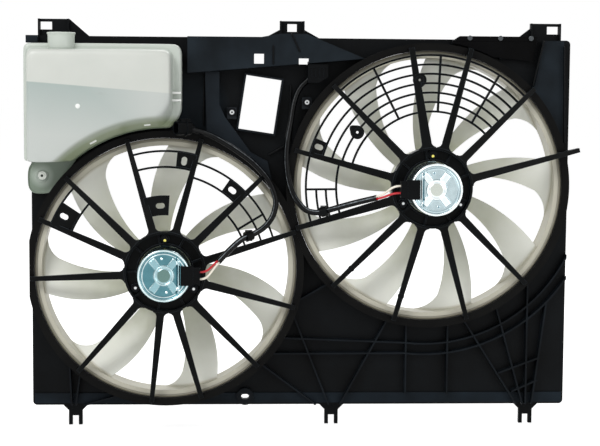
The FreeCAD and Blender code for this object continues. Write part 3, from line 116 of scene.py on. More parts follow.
def moulded(name, dark, lit, edge, roughness, specular, grain, depth, rounding=0.0008):
    """A moulded plastic: slow flow marks, a fine grain, and rounded edges painted paler, a painted
    highlight.

    The grain is given in metres and is drawn coarser than real, so that it shows.
    """
    material, tree, place = blank(name)
    flow = add(tree, "TexNoise", {"Vector": place, "Scale": 1 / 0.045, "Detail": 3.0})
    fine = add(tree, "TexNoise", {"Vector": place, "Scale": 1 / grain, "Detail": 2.0})
    rounded = add(tree, "Bevel", {"Radius": rounding}, samples=4)
    flat = add(tree, "NewGeometry", {})
    along = add(tree, "VectorMath", {0: rounded.outputs[0], 1: flat.outputs["Normal"]},
                operation="DOT_PRODUCT")
    turned = add(tree, "MapRange", {"Value": along.outputs["Value"], "From Min": 0.98,
                                    "From Max": 0.80, "To Min": 0.0, "To Max": 1.0})
    spread = add(tree, "MapRange", {"Value": flow.outputs["Fac"], "From Min": 0.35,
                                    "From Max": 0.7})
    tone = add(tree, "Mix", {"Factor": spread.outputs[0], "A": linear(dark), "B": linear(lit)},
               data_type="RGBA")
    # Painted highlight: the rounded edges are given the paler edge colour.
    colour = add(tree, "Mix", {"Factor": turned.outputs[0], "A": tone.outputs["Result"],
                               "B": linear(edge)}, data_type="RGBA")
    matt = add(tree, "MapRange", {"Value": fine.outputs["Fac"], "From Min": 0.3, "From Max": 0.7,
                                  "To Min": roughness - 0.07, "To Max": roughness + 0.07})
    rough = add(tree, "Bump", {"Height": fine.outputs["Fac"], "Strength": 0.35, "Distance": depth,
                               "Normal": rounded.outputs[0]})
    surface = add(tree, "BsdfPrincipled", {"Base Color": colour.outputs["Result"],
                                           "Roughness": matt.outputs[0], "IOR": 1.49,
                                           "Specular IOR Level": specular,
                                           "Normal": rough.outputs[0]})
    add(tree, "OutputMaterial", {"Surface": surface.outputs[0]})
    return material


def panel_black():
    """The panel's black: deep in the recessed skin, blue-grey on the pads that stand forward.

    The tones by depth, and the patch on the skin beside the strut, stand for light that falls on
    the unit. The grain is drawn at 1.2 mm, coarser than real, so that it shows.
    """
    material, tree, place = blank("polypropylene_black")
    parts = add(tree, "SeparateXYZ", {"Vector": place})
    ramp_depth = 0.064
    level = add(tree, "MapRange", {"Value": parts.outputs["Y"], "From Min": 0.0,
                                   "From Max": -ramp_depth})
    tone = add(tree, "ValToRGB", {"Fac": level.outputs[0]})
    steps = [(0.0, "#07090b"), (0.47, "#07090b"), (0.51, "#141b21"), (0.56, "#0c0f12"),
             (0.66, "#0f1317"), (0.70, "#161c21"), (0.80, "#14191e"), (0.87, "#171d22")]
    ramp = tone.color_ramp.elements
    ramp[0].position, ramp[0].color = steps[0][0], linear(steps[0][1])
    ramp[1].position, ramp[1].color = steps[-1][0], linear(steps[-1][1])
    for position, code in steps[1:-1]:
        ramp.new(position).color = linear(code)
    flow = add(tree, "TexNoise", {"Vector": place, "Scale": 1 / 0.055, "Detail": 3.0})
    spread = add(tree, "MapRange", {"Value": flow.outputs["Fac"], "From Min": 0.32,
                                    "From Max": 0.68, "To Min": 0.55, "To Max": 1.45})
    patch_middle = (-0.152, -0.030, 0.165)
    away = add(tree, "VectorMath", {0: place, 1: patch_middle}, operation="DISTANCE")
    patch = add(tree, "MapRange", {"Value": away.outputs["Value"], "From Min": 0.052,
                                   "From Max": 0.036})
    skin = add(tree, "MapRange", {"Value": parts.outputs["Y"], "From Min": -0.034,
                                  "From Max": -0.031})
    share = add(tree, "Math", {0: patch.outputs[0], 1: skin.outputs[0]}, operation="MULTIPLY")
    shade = add(tree, "Mix", {"Factor": share.outputs[0], "A": tone.outputs["Color"],
                              "B": linear("#12181d")}, data_type="RGBA")
    uneven = add(tree, "VectorMath", {0: shade.outputs["Result"], "Scale": spread.outputs[0]},
                 operation="SCALE")
    fine = add(tree, "TexNoise", {"Vector": place, "Scale": 1 / 0.0012, "Detail": 2.0})
    matt = add(tree, "MapRange", {"Value": fine.outputs["Fac"], "From Min": 0.3, "From Max": 0.7,
                                  "To Min": 0.42, "To Max": 0.56})
    rounded = add(tree, "Bevel", {"Radius": 0.0006}, samples=4)
    rough = add(tree, "Bump", {"Height": fine.outputs["Fac"], "Strength": 0.3, "Distance": 0.0002,
                               "Normal": rounded.outputs[0]})
    surface = add(tree, "BsdfPrincipled", {"Base Color": uneven.outputs["Vector"],
                                           "Roughness": matt.outputs[0], "IOR": 1.49,
                                           "Specular IOR Level": 0.08,
                                           "Normal": rough.outputs[0]})
    add(tree, "OutputMaterial", {"Surface": surface.outputs[0]})
    return material


def shaped(name, points, faces, material, body, levels=0):
    """A piece from its points and faces, smooth, subdivided, and carried by a body."""
    mesh = bpy.data.meshes.new(name)
    mesh.from_pydata([tuple(point) for point in points], [], faces)
    mesh.validate()
    shell = bmesh.new()
    shell.from_mesh(mesh)
    bmesh.ops.recalc_face_normals(shell, faces=shell.faces)
    shell.to_mesh(mesh)
    shell.free()
    mesh.shade_smooth()
    mesh.materials.append(material)
    made = bpy.data.objects.new(name, mesh)
    bpy.context.scene.collection.objects.link(made)
    if levels:
        smooth = made.modifiers.new("smooth", "SUBSURF")
        smooth.levels = levels
        smooth.render_levels = levels
    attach(made, body)
    return made


def soft_block(name, centre, size, turn, material, body):
    """A small block with rounded edges, turned in the face of the shroud."""
    half = Vector(size) / 2
    spin = Matrix.Rotation(-turn, 3, "Y")
    points = [Vector(centre) + spin @ Vector((x * half.x, y * half.y, z * half.z))
              for x in (-1, 1) for y in (-1, 1) for z in (-1, 1)]
    faces = [(0, 1, 3, 2), (4, 6, 7, 5), (0, 4, 5, 1), (2, 3, 7, 6), (0, 2, 6, 4), (1, 5, 7, 3)]
    made = shaped(name, points, faces, material, body)
    edge = made.modifiers.new("edge", "BEVEL")
    edge.width = min(size) * 0.3
    edge.segments = 3
    return made


finish_nodes(panel_black(), "shroud_panel")
# The ribs' paler edge colour is a painted highlight.
rib_black = moulded("polypropylene_rib_black", "#040506", "#0a0c0e", "#2b333a", 0.42, 0.09, 0.0012,
                    0.0001, 0.0005)

# Seven thin ribs on the panel: place, length, turn, height and width of each.
for index, (x, depth, z, length, turn, height, width) in enumerate((
        (-0.0423, 0.0566, 0.2336, 0.0259, -1.567, 0.0034, 0.0022),
        (-0.0114, 0.0566, 0.2505, 0.0275, -1.135, 0.0034, 0.0024),
        (-0.1376, 0.0327, 0.1711, 0.0693, -1.585, 0.0066, 0.0022),
        (-0.0175, 0.0315, 0.1532, 0.0794, -1.585, 0.0060, 0.0026),
        (-0.0326, 0.0315, 0.1032, 0.0330, 0.510, 0.0060, 0.0026),
        (0.3270, 0.0495, 0.2253, 0.0642, -1.802, 0.0050, 0.0024),
        (0.3644, 0.0495, 0.1821, 0.1343, -1.548, 0.0050, 0.0018))):
    soft_block("panel_rib_%d" % (index + 1), (x, -depth, z), (length, height, width), turn,
               rib_black, "shroud")
# The rings' paler edge colour is a small painted highlight.
ring_black = moulded("polypropylene_ring_black", "#050505", "#0c0c0b", "#1b1a19", 0.46, 0.07,
                     0.0012, 0.0001, 0.0004)
finish_nodes(ring_black, "left_opening_ring", "right_opening_ring")


# Motor stays: glass-filled nylon, moulded with thin spokes, guards and the motor holders. The
# glass makes it a little glossier than the panel, and the pale edges along each spoke are a painted
# highlight.

stay_black = moulded("glass_nylon_black", "#030404", "#0a0c0d", "#3c444b", 0.38, 0.07, 0.0009,
                     0.0001, 0.0008)
finish_nodes(stay_black, "left_stay", "right_stay")


# Fans: unfilled polypropylene, moulded in its natural milky colour. It is a little translucent, and
# the grey-olive towards each hub and the beige on the band are painted shade for light that comes
# through and past it; blades are white where light falls on them.

def from_axis(tree, place, x, z):
    """How far a point lies from a line through x and z that runs from front to back."""
    parts = add(tree, "SeparateXYZ", {"Vector": place})
    flat = add(tree, "CombineXYZ", {"X": parts.outputs["X"], "Z": parts.outputs["Z"]})
    away = add(tree, "VectorMath", {0: flat.outputs[0], 1: (x, 0.0, z)}, operation="DISTANCE")
    return away.outputs["Value"]


def natural_plastic(name, pale, olive, beige, axis, near, far, band):
    """Natural polypropylene: olive towards the hub of the fan on that axis, beige on its band.

    The tints stand for how much light comes through and past the plastic. The grain is drawn at
    1.5 mm, coarser than real, so that it shows.
    """
    material, tree, place = blank(name)
    reach = from_axis(tree, place, *axis)
    spread = add(tree, "MapRange", {"Value": reach, "From Min": near, "From Max": far,
                                    "To Min": 1.0, "To Max": 0.0})
    cloud = add(tree, "TexNoise", {"Vector": place, "Scale": 1 / 0.030, "Detail": 3.0})
    tint = add(tree, "Math", {0: spread.outputs[0], 1: cloud.outputs["Fac"]}, operation="MULTIPLY")
    blade = add(tree, "Mix", {"Factor": tint.outputs[0], "A": linear(pale), "B": linear(olive)},
                data_type="RGBA")
    edge = add(tree, "MapRange", {"Value": reach, "From Min": band - 0.004, "From Max": band})
    shade = add(tree, "Math", {0: edge.outputs[0], 1: 0.85}, operation="MULTIPLY")
    banded = add(tree, "Mix", {"Factor": shade.outputs[0], "A": blade.outputs["Result"],
                               "B": linear(beige)}, data_type="RGBA")
    rim = add(tree, "MapRange", {"Value": reach, "From Min": band + 0.0050,
                                 "From Max": band + 0.0080, "To Max": 0.85})
    shaded_beige = "#7a7562"
    colour = add(tree, "Mix", {"Factor": rim.outputs[0], "A": banded.outputs["Result"],
                               "B": linear(shaded_beige)}, data_type="RGBA")
    fine = add(tree, "TexNoise", {"Vector": place, "Scale": 1 / 0.0015, "Detail": 2.0})
    rounded = add(tree, "Bevel", {"Radius": 0.0010}, samples=4)
    rough = add(tree, "Bump", {"Height": fine.outputs["Fac"], "Strength": 0.2, "Distance": 0.0001,
                               "Normal": rounded.outputs[0]})
    surface = add(tree, "BsdfPrincipled", {"Base Color": colour.outputs["Result"],
                                           "Roughness": 0.42, "IOR": 1.49,
                                           "Normal": rough.outputs[0]})
    through = add(tree, "BsdfTranslucent", {"Color": colour.outputs["Result"],
                                            "Normal": rough.outputs[0]})
    milky = add(tree, "MixShader", {0: 0.18, 1: surface.outputs[0], 2: through.outputs[0]})
    add(tree, "OutputMaterial", {"Surface": milky.outputs[0]})
    return material


left_axis = (-0.18901, -0.062)
right_axis = (0.17401, 0.054)
left_natural = natural_plastic("polypropylene_natural_left", "#eeefe8", "#bfc2a4", "#c4c0ad",
                               left_axis, 0.06, 0.17, 0.1705)
right_natural = natural_plastic("polypropylene_natural_right", "#eeefe8", "#bfc2a4", "#c4c0ad",
                                right_axis, 0.06, 0.175, 0.1770)
finish_nodes(left_natural, "left_fan")
finish_nodes(right_natural, "right_fan")


def bridge(rings, count, closed=False):
    """The faces between rings of points, in order, each ring with the same count."""
    faces = []
    for ring in range(rings if closed else rings - 1):
        for spot in range(count):
            low, high = ring * count, (ring + 1) % rings * count
            after = (spot + 1) % count
            faces.append((low + spot, low + after, high + after, high + spot))
    return faces


def turned_ring(name, axis, profile, count, material, body):
    """A ring turned about a fan's axis from its section, given as radius and depth."""
    points = []
    for radius, depth in profile:
        for step in range(count):
            turn = 2 * math.pi * step / count
            points.append((axis[0] + radius * math.cos(turn), -depth,
                           axis[1] + radius * math.sin(turn)))
    return shaped(name, points, bridge(len(profile), count, closed=True), material, body)


# Rims of the fan bands: the outer edge of each band, moulded with its fan, of the same plastic. It
# ends 0.3 mm inside the opening and turns with the fan.

for side, axis, band_edge, material in (("left", left_axis, 0.1770, left_natural),
                                        ("right", right_axis, 0.1835, right_natural)):
    rim = [(band_edge - 0.0004, 0.0560), (band_edge + 0.0026, 0.0560), (band_edge + 0.0034, 0.0555),
           (band_edge + 0.0037, 0.0546), (band_edge + 0.0034, 0.0538), (band_edge + 0.0026, 0.0533),
           (band_edge - 0.0004, 0.0533)]
    turned_ring(side + "_fan_rim", axis, rim, 160, material, side + "_rotor")


# Guard lugs: two solid lugs on the right grille, moulded with the stay round its open bosses. They
# are the stay's glass-filled nylon, each with a small bore.

def guard_lug(name, x, z, depth, point_turn, bore):
    """A round lug drawn out to a blunt point on one side, dished round its bore."""
    count = 48
    profile = ((0.0, 0.0034), (0.0, 0.0008), (0.06, 0.0002), (0.22, 0.0000), (0.34, 0.0009),
               (0.78, 0.0009), (0.86, 0.0001), (0.95, 0.0000), (1.0, 0.0005), (1.0, 0.0034))
    points = []
    for share, back in profile:
        for step in range(count):
            turn = 2 * math.pi * step / count
            away = abs((turn - point_turn + math.pi) % (2 * math.pi) - math.pi)
            outline = 0.0094 + 0.0034 * math.exp(-(away / 0.42) ** 2)
            radius = bore + (outline - bore) * share
            points.append((x + radius * math.cos(turn), back - depth, z + radius * math.sin(turn)))
    shaped(name, points, bridge(len(profile), count, closed=True), stay_black,
           "shroud")


guard_lug("guard_lug_left", 0.07207, 0.12884, 0.08715, math.radians(140), 0.0018)
guard_lug("guard_lug_top", 0.15730, 0.20068, 0.08206, math.radians(262), 0.0016)


# Motor cans, end caps and fasteners: deep-drawn steel, zinc plated and passivated to a pale blue.
# The plating is bright and smooth, with faint drawing marks. The white where a pressed edge turns
# is a painted reflection, and the cans and caps are given a darker tone on the left and a paler one
# on the right, painted shade and painted light. The motor and module screws are black, the tank's
# is bright, the clip nuts phosphated.

def plated(name, base, bright, roughness):
    """Plated or ground metal: a cloudy gloss, and fine marks drawn at 1.2 mm, coarser than real."""
    material, tree, place = blank(name)
    cloud = add(tree, "TexNoise", {"Vector": place, "Scale": 1 / 0.012, "Detail": 4.0})
    fine = add(tree, "TexNoise", {"Vector": place, "Scale": 1 / 0.0012, "Detail": 3.0})
    rounded = add(tree, "Bevel", {"Radius": 0.0008}, samples=4)
    spread = add(tree, "MapRange", {"Value": cloud.outputs["Fac"], "From Min": 0.35,
                                    "From Max": 0.65})
    colour = add(tree, "Mix", {"Factor": spread.outputs[0], "A": linear(base), "B": linear(bright)},
                 data_type="RGBA")
    matt = add(tree, "MapRange", {"Value": cloud.outputs["Fac"], "From Min": 0.3, "From Max": 0.7,
                                  "To Min": roughness - 0.05, "To Max": roughness + 0.06})
    rough = add(tree, "Bump", {"Height": fine.outputs["Fac"], "Strength": 0.12, "Distance": 0.0001,
                               "Normal": rounded.outputs[0]})
    surface = add(tree, "BsdfPrincipled", {"Base Color": colour.outputs["Result"], "Metallic": 1.0,
                                           "Roughness": matt.outputs[0],
                                           "Normal": rough.outputs[0]})
    add(tree, "OutputMaterial", {"Surface": surface.outputs[0]})
    return material


# The two cans are one plate in two tones: the left darker as painted shade, the right paler as
# painted light.
zinc_shaded = plated("zinc_plate_shaded", "#4a656c", "#70898e", 0.24)
zinc_lit = plated("zinc_plate_lit", "#a3bfc3", "#dfe9ea", 0.24)
finish_nodes(zinc_shaded, "left_motor_can")
finish_nodes(zinc_lit, "right_motor_can")
finish_nodes(plated("zinc_plate_nuts", "#7d807b", "#b5b7b0", 0.3), "left_fan_nut", "right_fan_nut")
finish_nodes(plated("phosphate_black", "#131517", "#26292c", 0.5), "clip_nuts")


def spotted_screws(name, plate, spots):
    """Passivated screws spotted in the recess of their heads: painted highlights and painted shade.

    The fine marks are drawn at 1 mm, coarser than real, so that they show.
    """
    material, tree, place = blank(name)
    colour = linear(plate)
    for x, z, reach, code in spots:
        near = add(tree, "MapRange", {"Value": from_axis(tree, place, x, z),
                                      "From Min": reach * 1.15, "From Max": reach * 0.85})
        colour = add(tree, "Mix", {"Factor": near.outputs[0], "A": colour, "B": linear(code)},
                     data_type="RGBA").outputs["Result"]
    fine = add(tree, "TexNoise", {"Vector": place, "Scale": 1 / 0.001, "Detail": 2.0})
    rough = add(tree, "Bump", {"Height": fine.outputs["Fac"], "Strength": 0.15, "Distance": 0.0001})
    surface = add(tree, "BsdfPrincipled", {"Base Color": colour, "Metallic": 1.0, "Roughness": 0.3,
                                           "Normal": rough.outputs[0]})
    add(tree, "OutputMaterial", {"Surface": surface.outputs[0]})
    return material


screw_low, screw_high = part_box("tank_screw")
screw_x, screw_z = (screw_low.x + screw_high.x) / 2, (screw_low.z + screw_high.z) / 2
# The tank's screw is bright, with painted shade in the recess of its head.
finish_nodes(spotted_screws("tank_screw_plate", "#b9bdb6", [(screw_x, screw_z, 0.0019, "#2c2e2b")]),
             "tank_screw")

# Each motor's three screws: a painted highlight in the recess of each, yellow on the top one for
# its yellow passivate and bright on the other two.
for side, axis in (("left", left_axis), ("right", right_axis)):
    heads = []
    for degrees, away, code in ((90.0, 0.0435, "#f2e878"), (208.0, 0.0450, "#c9cccc"),
                                (330.0, 0.0450, "#c9cccc")):
        turn = math.radians(degrees)
        heads.append((axis[0] + away * math.cos(turn), axis[1] + away * math.sin(turn), 0.0018,
                      code))
    finish_nodes(spotted_screws(side + "_screw_plate", "#17181a", heads), side + "_motor_screws")

# The two screws of the module, at opposite corners of their box: a bright ring, a painted
# highlight, round a recess darkened as painted shade.
module_low, module_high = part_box("module_screws")
washer_radius = 0.0058
module_spots = []
for x, z in ((module_low.x + washer_radius, module_low.z + washer_radius),
             (module_high.x - washer_radius, module_high.z - washer_radius)):
    module_spots += [(x, z, 0.0031, "#c9cccd"), (x, z, 0.0013, "#0c0d0e")]
finish_nodes(spotted_screws("module_screw_plate", "#17181a", module_spots), "module_screws")


def pressed_sheet(name, deep, plain, flank, arm, raised, boss, axis):
    """Zinc plate on a pressed cap: deep in its hollows, and pale on its arms and its rim.

    The tones by depth, and the tone of the boss, are painted reflection and painted shade: they
    stand for what the bright plate mirrors. The fine marks are drawn at 1.2 mm, coarser than real,
    so that they show.
    """
    material, tree, place = blank(name)
    parts = add(tree, "SeparateXYZ", {"Vector": place})
    level = add(tree, "MapRange", {"Value": parts.outputs["Y"], "From Min": -0.1405,
                                   "From Max": -0.1450})
    cloud = add(tree, "TexNoise", {"Vector": place, "Scale": 1 / 0.009, "Detail": 2.0})
    shift = add(tree, "MapRange", {"Value": cloud.outputs["Fac"], "To Min": -0.05, "To Max": 0.05})
    cloudy = add(tree, "Math", {0: level.outputs[0], 1: shift.outputs[0]}, operation="ADD")
    # Painted reflection and shade: each level of the pressed face is given its own tone.
    tone = add(tree, "ValToRGB", {"Fac": cloudy.outputs[0]})
    ramp = tone.color_ramp.elements
    ramp[0].position, ramp[0].color = 0.06, linear(deep)
    ramp[1].position, ramp[1].color = 0.82, linear(raised)
    for position, code in ((0.24, plain), (0.38, flank), (0.56, arm), (0.64, arm)):
        ramp.new(position).color = linear(code)
    # The boss is given its own tone, a painted reflection.
    middle = add(tree, "MapRange", {"Value": from_axis(tree, place, *axis), "From Min": 0.0090,
                                    "From Max": 0.0082})
    colour = add(tree, "Mix", {"Factor": middle.outputs[0], "A": tone.outputs["Color"],
                               "B": linear(boss)}, data_type="RGBA")
    fine = add(tree, "TexNoise", {"Vector": place, "Scale": 1 / 0.0012, "Detail": 3.0})
    rough = add(tree, "Bump", {"Height": fine.outputs["Fac"], "Strength": 0.12, "Distance": 0.0001})
    surface = add(tree, "BsdfPrincipled", {"Base Color": colour.outputs["Result"], "Metallic": 1.0,
                                           "Roughness": 0.22, "Normal": rough.outputs[0]})
    add(tree, "OutputMaterial", {"Surface": surface.outputs[0]})
    return material


def smooth_step(value, start, end):
    """Runs softly from 0 at the start to 1 at the end."""
    share = min(1.0, max(0.0, (value - start) / (end - start)))
    return share * share * (3 - 2 * share)


# The pressed cap, in millimetres and degrees: its radius, where its ridge and its face stand, the
# turns of its four arms, and the turn and distance of its two dots.
cap_radius = 35.2
cap_ridge = 19.6
cap_face = 141.5
cap_arms = (52.0, 128.0, 232.0, 308.0)
cap_dots = ((97.0, 23.0), (-81.0, 22.4))


def cap_depth(x, z):
    """The cap's front face in millimetres at a place from the motor's axis."""
    reach = math.hypot(x, z)
    depth = cap_face
    if reach > 31.7:
        depth += 2.6 * math.sqrt(max(0.0, 1 - ((reach - 33.5) / 1.9) ** 2))
    depth -= 0.7 * math.exp(-((reach - 30.7) / 0.6) ** 2)
    depth += 0.5 * math.exp(-((reach - 29.0) / 0.8) ** 2)
    for degrees in cap_arms:
        turn = math.radians(degrees)
        along = x * math.cos(turn) + z * math.sin(turn)
        across = abs(-x * math.sin(turn) + z * math.cos(turn))
        arm = smooth_step(along, 10.5, 12.5) * smooth_step(along, 27.0, 25.5)
        depth = max(depth, cap_face + 1.7 * arm * smooth_step(across, 5.0, 3.9))
    depth = max(depth, cap_face + 2.2 * smooth_step(reach, 14.4, 13.0))
    depth -= 1.0 * math.exp(-((reach - 10.2) / 0.9) ** 2)
    for degrees, far in cap_dots:
        turn = math.radians(degrees)
        away = math.hypot(x - far * math.cos(turn), z - far * math.sin(turn))
        depth += 0.9 * smooth_step(away, 1.9, 0.8)
    within = smooth_step(reach, 31.0, 29.5)
    depth += 1.6 * math.exp(-((x - cap_ridge) / 0.8) ** 2) * within
    depth -= 0.9 * math.exp(-((x - cap_ridge + 2.4) / 0.8) ** 2) * within
    return min(depth, 145.8)


def pressed_cap(side, axis, facing, material):
    """A drawn cap with a rolled rim, four pressed arms and a ridge beside the connector."""
    count, steps = 192, 59
    rings = []
    for ring in range(steps):
        share = 0.04 + 0.96 * ring / (steps - 1)
        for step in range(count):
            turn = 2 * math.pi * step / count
            rings.append((share * cap_radius * math.cos(turn), share * cap_radius * math.sin(turn)))
    points = [(x, cap_depth(x, z), z) for x, z in rings]
    points += [(x * 1.004, 140.6, z * 1.004) for x, z in rings[-count:]]
    points += [(x * 1.004, 138.1, z * 1.004) for x, z in rings[-count:]]
    points.append((0.0, cap_depth(0.0, 0.0), 0.0))
    faces = bridge(steps + 2, count)
    faces += [(step, (step + 1) % count, len(points) - 1) for step in range(count)]
    faces.append(tuple(range((steps + 1) * count, (steps + 2) * count)))
    placed = [(axis[0] + facing * x / 1000, -depth / 1000, axis[1] + facing * z / 1000)
              for x, depth, z in points]
    cap = shaped(side + "_pressed_cap", placed, faces, material, "shroud")
    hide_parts(side + "_motor_end_cap")


# The left cap is given darker tones and the right paler ones: painted shade and painted reflection.
pressed_cap("left", left_axis, 1.0,
            pressed_sheet("cap_plate_left", "#28505b", "#527d86", "#eef8f9", "#86a9b0", "#dce9ea",
                          "#607b76", left_axis))
pressed_cap("right", right_axis, -1.0,
            pressed_sheet("cap_plate_right", "#486d78", "#bccdd1", "#557783", "#e6eff0", "#eef4f4",
                          "#c6ccc4", right_axis))


# Inner parts of the motors: ground shafts, sintered bronze bearings, turned copper commutators,
# armatures of varnished sheets, ferrite magnets, and carbon brushes in phenolic holders.

finish_nodes(plated("ground_steel", "#8d8f90", "#b9bbbb", 0.22), "left_motor_shaft",
             "right_motor_shaft")
finish_nodes(plated("sintered_bronze", "#8d6a3c", "#a98550", 0.45), "left_front_bearing",
             "left_rear_bearing", "right_front_bearing", "right_rear_bearing")
finish_nodes(plated("turned_copper", "#b0643c", "#c98358", 0.25), "left_commutator",
             "right_commutator")
finish_nodes(plated("varnished_core", "#4a3a30", "#6b5240", 0.5), "left_armature", "right_armature")
# The magnets', brushes' and holders' paler edges are a painted highlight.
finish_nodes(moulded("ferrite", "#1c1b1c", "#262425", "#3a3838", 0.6, 0.4, 0.0008, 0.0001),
             "left_motor_magnets", "right_motor_magnets")
finish_nodes(moulded("brush_carbon", "#151414", "#201f1f", "#333232", 0.55, 0.4, 0.0006, 0.0001),
             "left_motor_brushes", "right_motor_brushes")
finish_nodes(moulded("phenolic", "#3a2414", "#4a3020", "#6b4a34", 0.4, 0.5, 0.0010, 0.0001),
             "left_brush_holder", "right_brush_holder")


# Connectors, plugs and clips: glass-filled polyester, moulded glossy black and pushed on or
# snapped in place.

# Their paler edges are a painted highlight.
plug_black = moulded("polyester_black", "#040506", "#0a0c0e", "#252b31", 0.33, 0.07, 0.0010, 0.0001,
                     0.0004)
finish_nodes(plug_black, "left_motor_connector", "right_motor_connector", "left_plug", "right_plug",
             "plug_bracket", "left_sleeve_clip", "right_sleeve_clip")


# Reservoir: natural polyethylene, blow moulded in two halves that meet at a ledge round its
# side. It is milky, a little glossy and bluish low on its face; the olive where a wall is seen edge
# on, the dark line along the ring and the tab's darker tone away from its screw are painted shade.
# A tab at its lower left takes the screw, and the filler neck at the top is open.

def rounded_corner(before, corner, after, radius, steps):
    """Points along a round between two straight runs, on a quadratic curve."""
    into = (Vector(before) - Vector(corner)).normalized() * radius
    away = (Vector(after) - Vector(corner)).normalized() * radius
    points = []
    for step in range(steps + 1):
        t = step / steps
        points.append(Vector(corner) + into * (1 - t) ** 2 + away * t ** 2)
    return points


tank_floor = 0.0868
tank_left, tank_right, tank_top = -0.38101, -0.16701, 0.247
tank_arc = 0.194
tank_screw_place = (-0.3612, 0.0654)


def tank_ring(depth, left_in, right_in, top_in, arc_in, bend):
    """One outline of the tank at a depth, each side moved in by its own amount; metres."""
    left, right, top = tank_left + left_in, tank_right - right_in, tank_top - top_in
    radius = tank_arc + arc_in
    lean = math.asin((right - 0.016 - left_axis[0]) / radius)
    start = (left_axis[0] + radius * math.sin(lean), left_axis[1] + radius * math.cos(lean))
    low_turn = math.pi - math.asin((tank_floor - left_axis[1]) / radius)
    low = (left_axis[0] + radius * math.cos(low_turn), tank_floor)
    corners = [(left, top), (right, top), (right, start[1] + 0.018), start]
    bends = (0.010, 0.014, 0.012, 0.006)
    first_turn = math.pi / 2 - lean
    arc_turns = [first_turn + (low_turn - math.pi / 2 + lean) * step / 24 for step in range(25)]
    arc = [(left_axis[0] + radius * math.cos(turn), left_axis[1] + radius * math.sin(turn))
           for turn in arc_turns]
    around = [(left, low[1])] + corners + [arc[1]]
    points = []
    for index in range(4):
        points += rounded_corner(around[index], around[index + 1], around[index + 2],
                                 bends[index] * bend, 5)
    points += [Vector(spot) for spot in arc[1:-1]]
    points += rounded_corner(arc[-2], low, (left, low[1]), 0.004 * bend, 3)
    points += rounded_corner(low, (left, low[1]), (left, top), 0.005 * bend, 5)
    return [(point[0], -depth, point[1]) for point in points]


def milky_polyethylene():
    """Milky polyethylene: paler above the slanted line, painted olive shade where the wall turns
    away.

    The fine unevenness of its wall is drawn at 4 mm, so that it shows.
    """
    material, tree, place = blank("polyethylene_milky")
    parts = add(tree, "SeparateXYZ", {"Vector": place})
    slant = add(tree, "Math", {0: parts.outputs["X"], 1: 0.076, 2: parts.outputs["Z"]},
                operation="MULTIPLY_ADD")
    above = add(tree, "MapRange", {"Value": slant.outputs[0], "From Min": 0.1652,
                                   "From Max": 0.1668},
                interpolation_type="SMOOTHSTEP")
    fade = add(tree, "MapRange", {"Value": slant.outputs[0], "From Min": 0.166, "From Max": 0.098})
    right = add(tree, "MapRange", {"Value": parts.outputs["X"], "From Min": -0.300,
                                   "From Max": -0.205})
    pale = add(tree, "Math", {0: fade.outputs[0], 1: right.outputs[0]}, operation="MAXIMUM")
    cloud = add(tree, "TexNoise", {"Vector": place, "Scale": 1 / 0.050, "Detail": 3.0})
    low = add(tree, "Mix", {"Factor": pale.outputs[0], "A": linear("#aebab6"),
                            "B": linear("#c8cdc9")}, data_type="RGBA")
    high = add(tree, "Mix", {"Factor": cloud.outputs["Fac"], "A": linear("#ced2cb"),
                             "B": linear("#dcded8")}, data_type="RGBA")
    face = add(tree, "Mix", {"Factor": above.outputs[0], "A": low.outputs["Result"],
                             "B": high.outputs["Result"]}, data_type="RGBA")
    front = add(tree, "MapRange", {"Value": parts.outputs["Y"], "From Min": -0.101,
                                   "From Max": -0.108})
    shell = add(tree, "Mix", {"Factor": front.outputs[0], "A": linear("#ccd3cb"),
                              "B": face.outputs["Result"]}, data_type="RGBA")
    # Painted shade: olive on the wall that turns away, and a dark line where it meets the ring.
    reach = from_axis(tree, place, *left_axis)
    near = add(tree, "MapRange", {"Value": reach, "From Min": 0.2130, "From Max": 0.2030})
    olive = add(tree, "Mix", {"Factor": near.outputs[0], "A": shell.outputs["Result"],
                              "B": linear("#919d7e")}, data_type="RGBA")
    edge = add(tree, "MapRange", {"Value": reach, "From Min": 0.1975, "From Max": 0.1950})
    wall = add(tree, "Mix", {"Factor": edge.outputs[0], "A": olive.outputs["Result"],
                             "B": linear("#4d5a48")}, data_type="RGBA")
    # Painted shade on the tab: paler round the screw's pad and darker away from it.
    under = add(tree, "MapRange", {"Value": parts.outputs["Y"], "From Min": -0.0460,
                                   "From Max": -0.0420})
    tab_shade = add(tree, "MapRange", {"Value": from_axis(tree, place, *tank_screw_place),
                                  "From Min": 0.0060, "From Max": 0.0180})
    tab = add(tree, "Mix", {"Factor": tab_shade.outputs[0], "A": linear("#b4beb4"),
                            "B": linear("#7d8b7c")}, data_type="RGBA")
    colour = add(tree, "Mix", {"Factor": under.outputs[0], "A": wall.outputs["Result"],
                               "B": tab.outputs["Result"]}, data_type="RGBA")
    fine = add(tree, "TexNoise", {"Vector": place, "Scale": 1 / 0.004, "Detail": 2.0})
    rough = add(tree, "Bump", {"Height": fine.outputs["Fac"], "Strength": 0.15, "Distance": 0.0002})
    surface = add(tree, "BsdfPrincipled", {"Base Color": colour.outputs["Result"],
                                           "Roughness": 0.38,
                                           "IOR": 1.51, "Normal": rough.outputs[0]})
    through = add(tree, "BsdfTranslucent", {"Color": colour.outputs["Result"],
                                            "Normal": rough.outputs[0]})
    milky = add(tree, "MixShader", {0: 0.15, 1: surface.outputs[0], 2: through.outputs[0]})
    add(tree, "OutputMaterial", {"Surface": milky.outputs[0]})
    return material


tank_white = milky_polyethylene()
# The ribs and the mark are painted paler than the shell, with white edges: a painted highlight.
rib_white = moulded("polyethylene_painted_highlight", "#e9ece8", "#f6f7f4", "#ffffff", 0.30, 0.5, 0.0040,
                    0.0001)

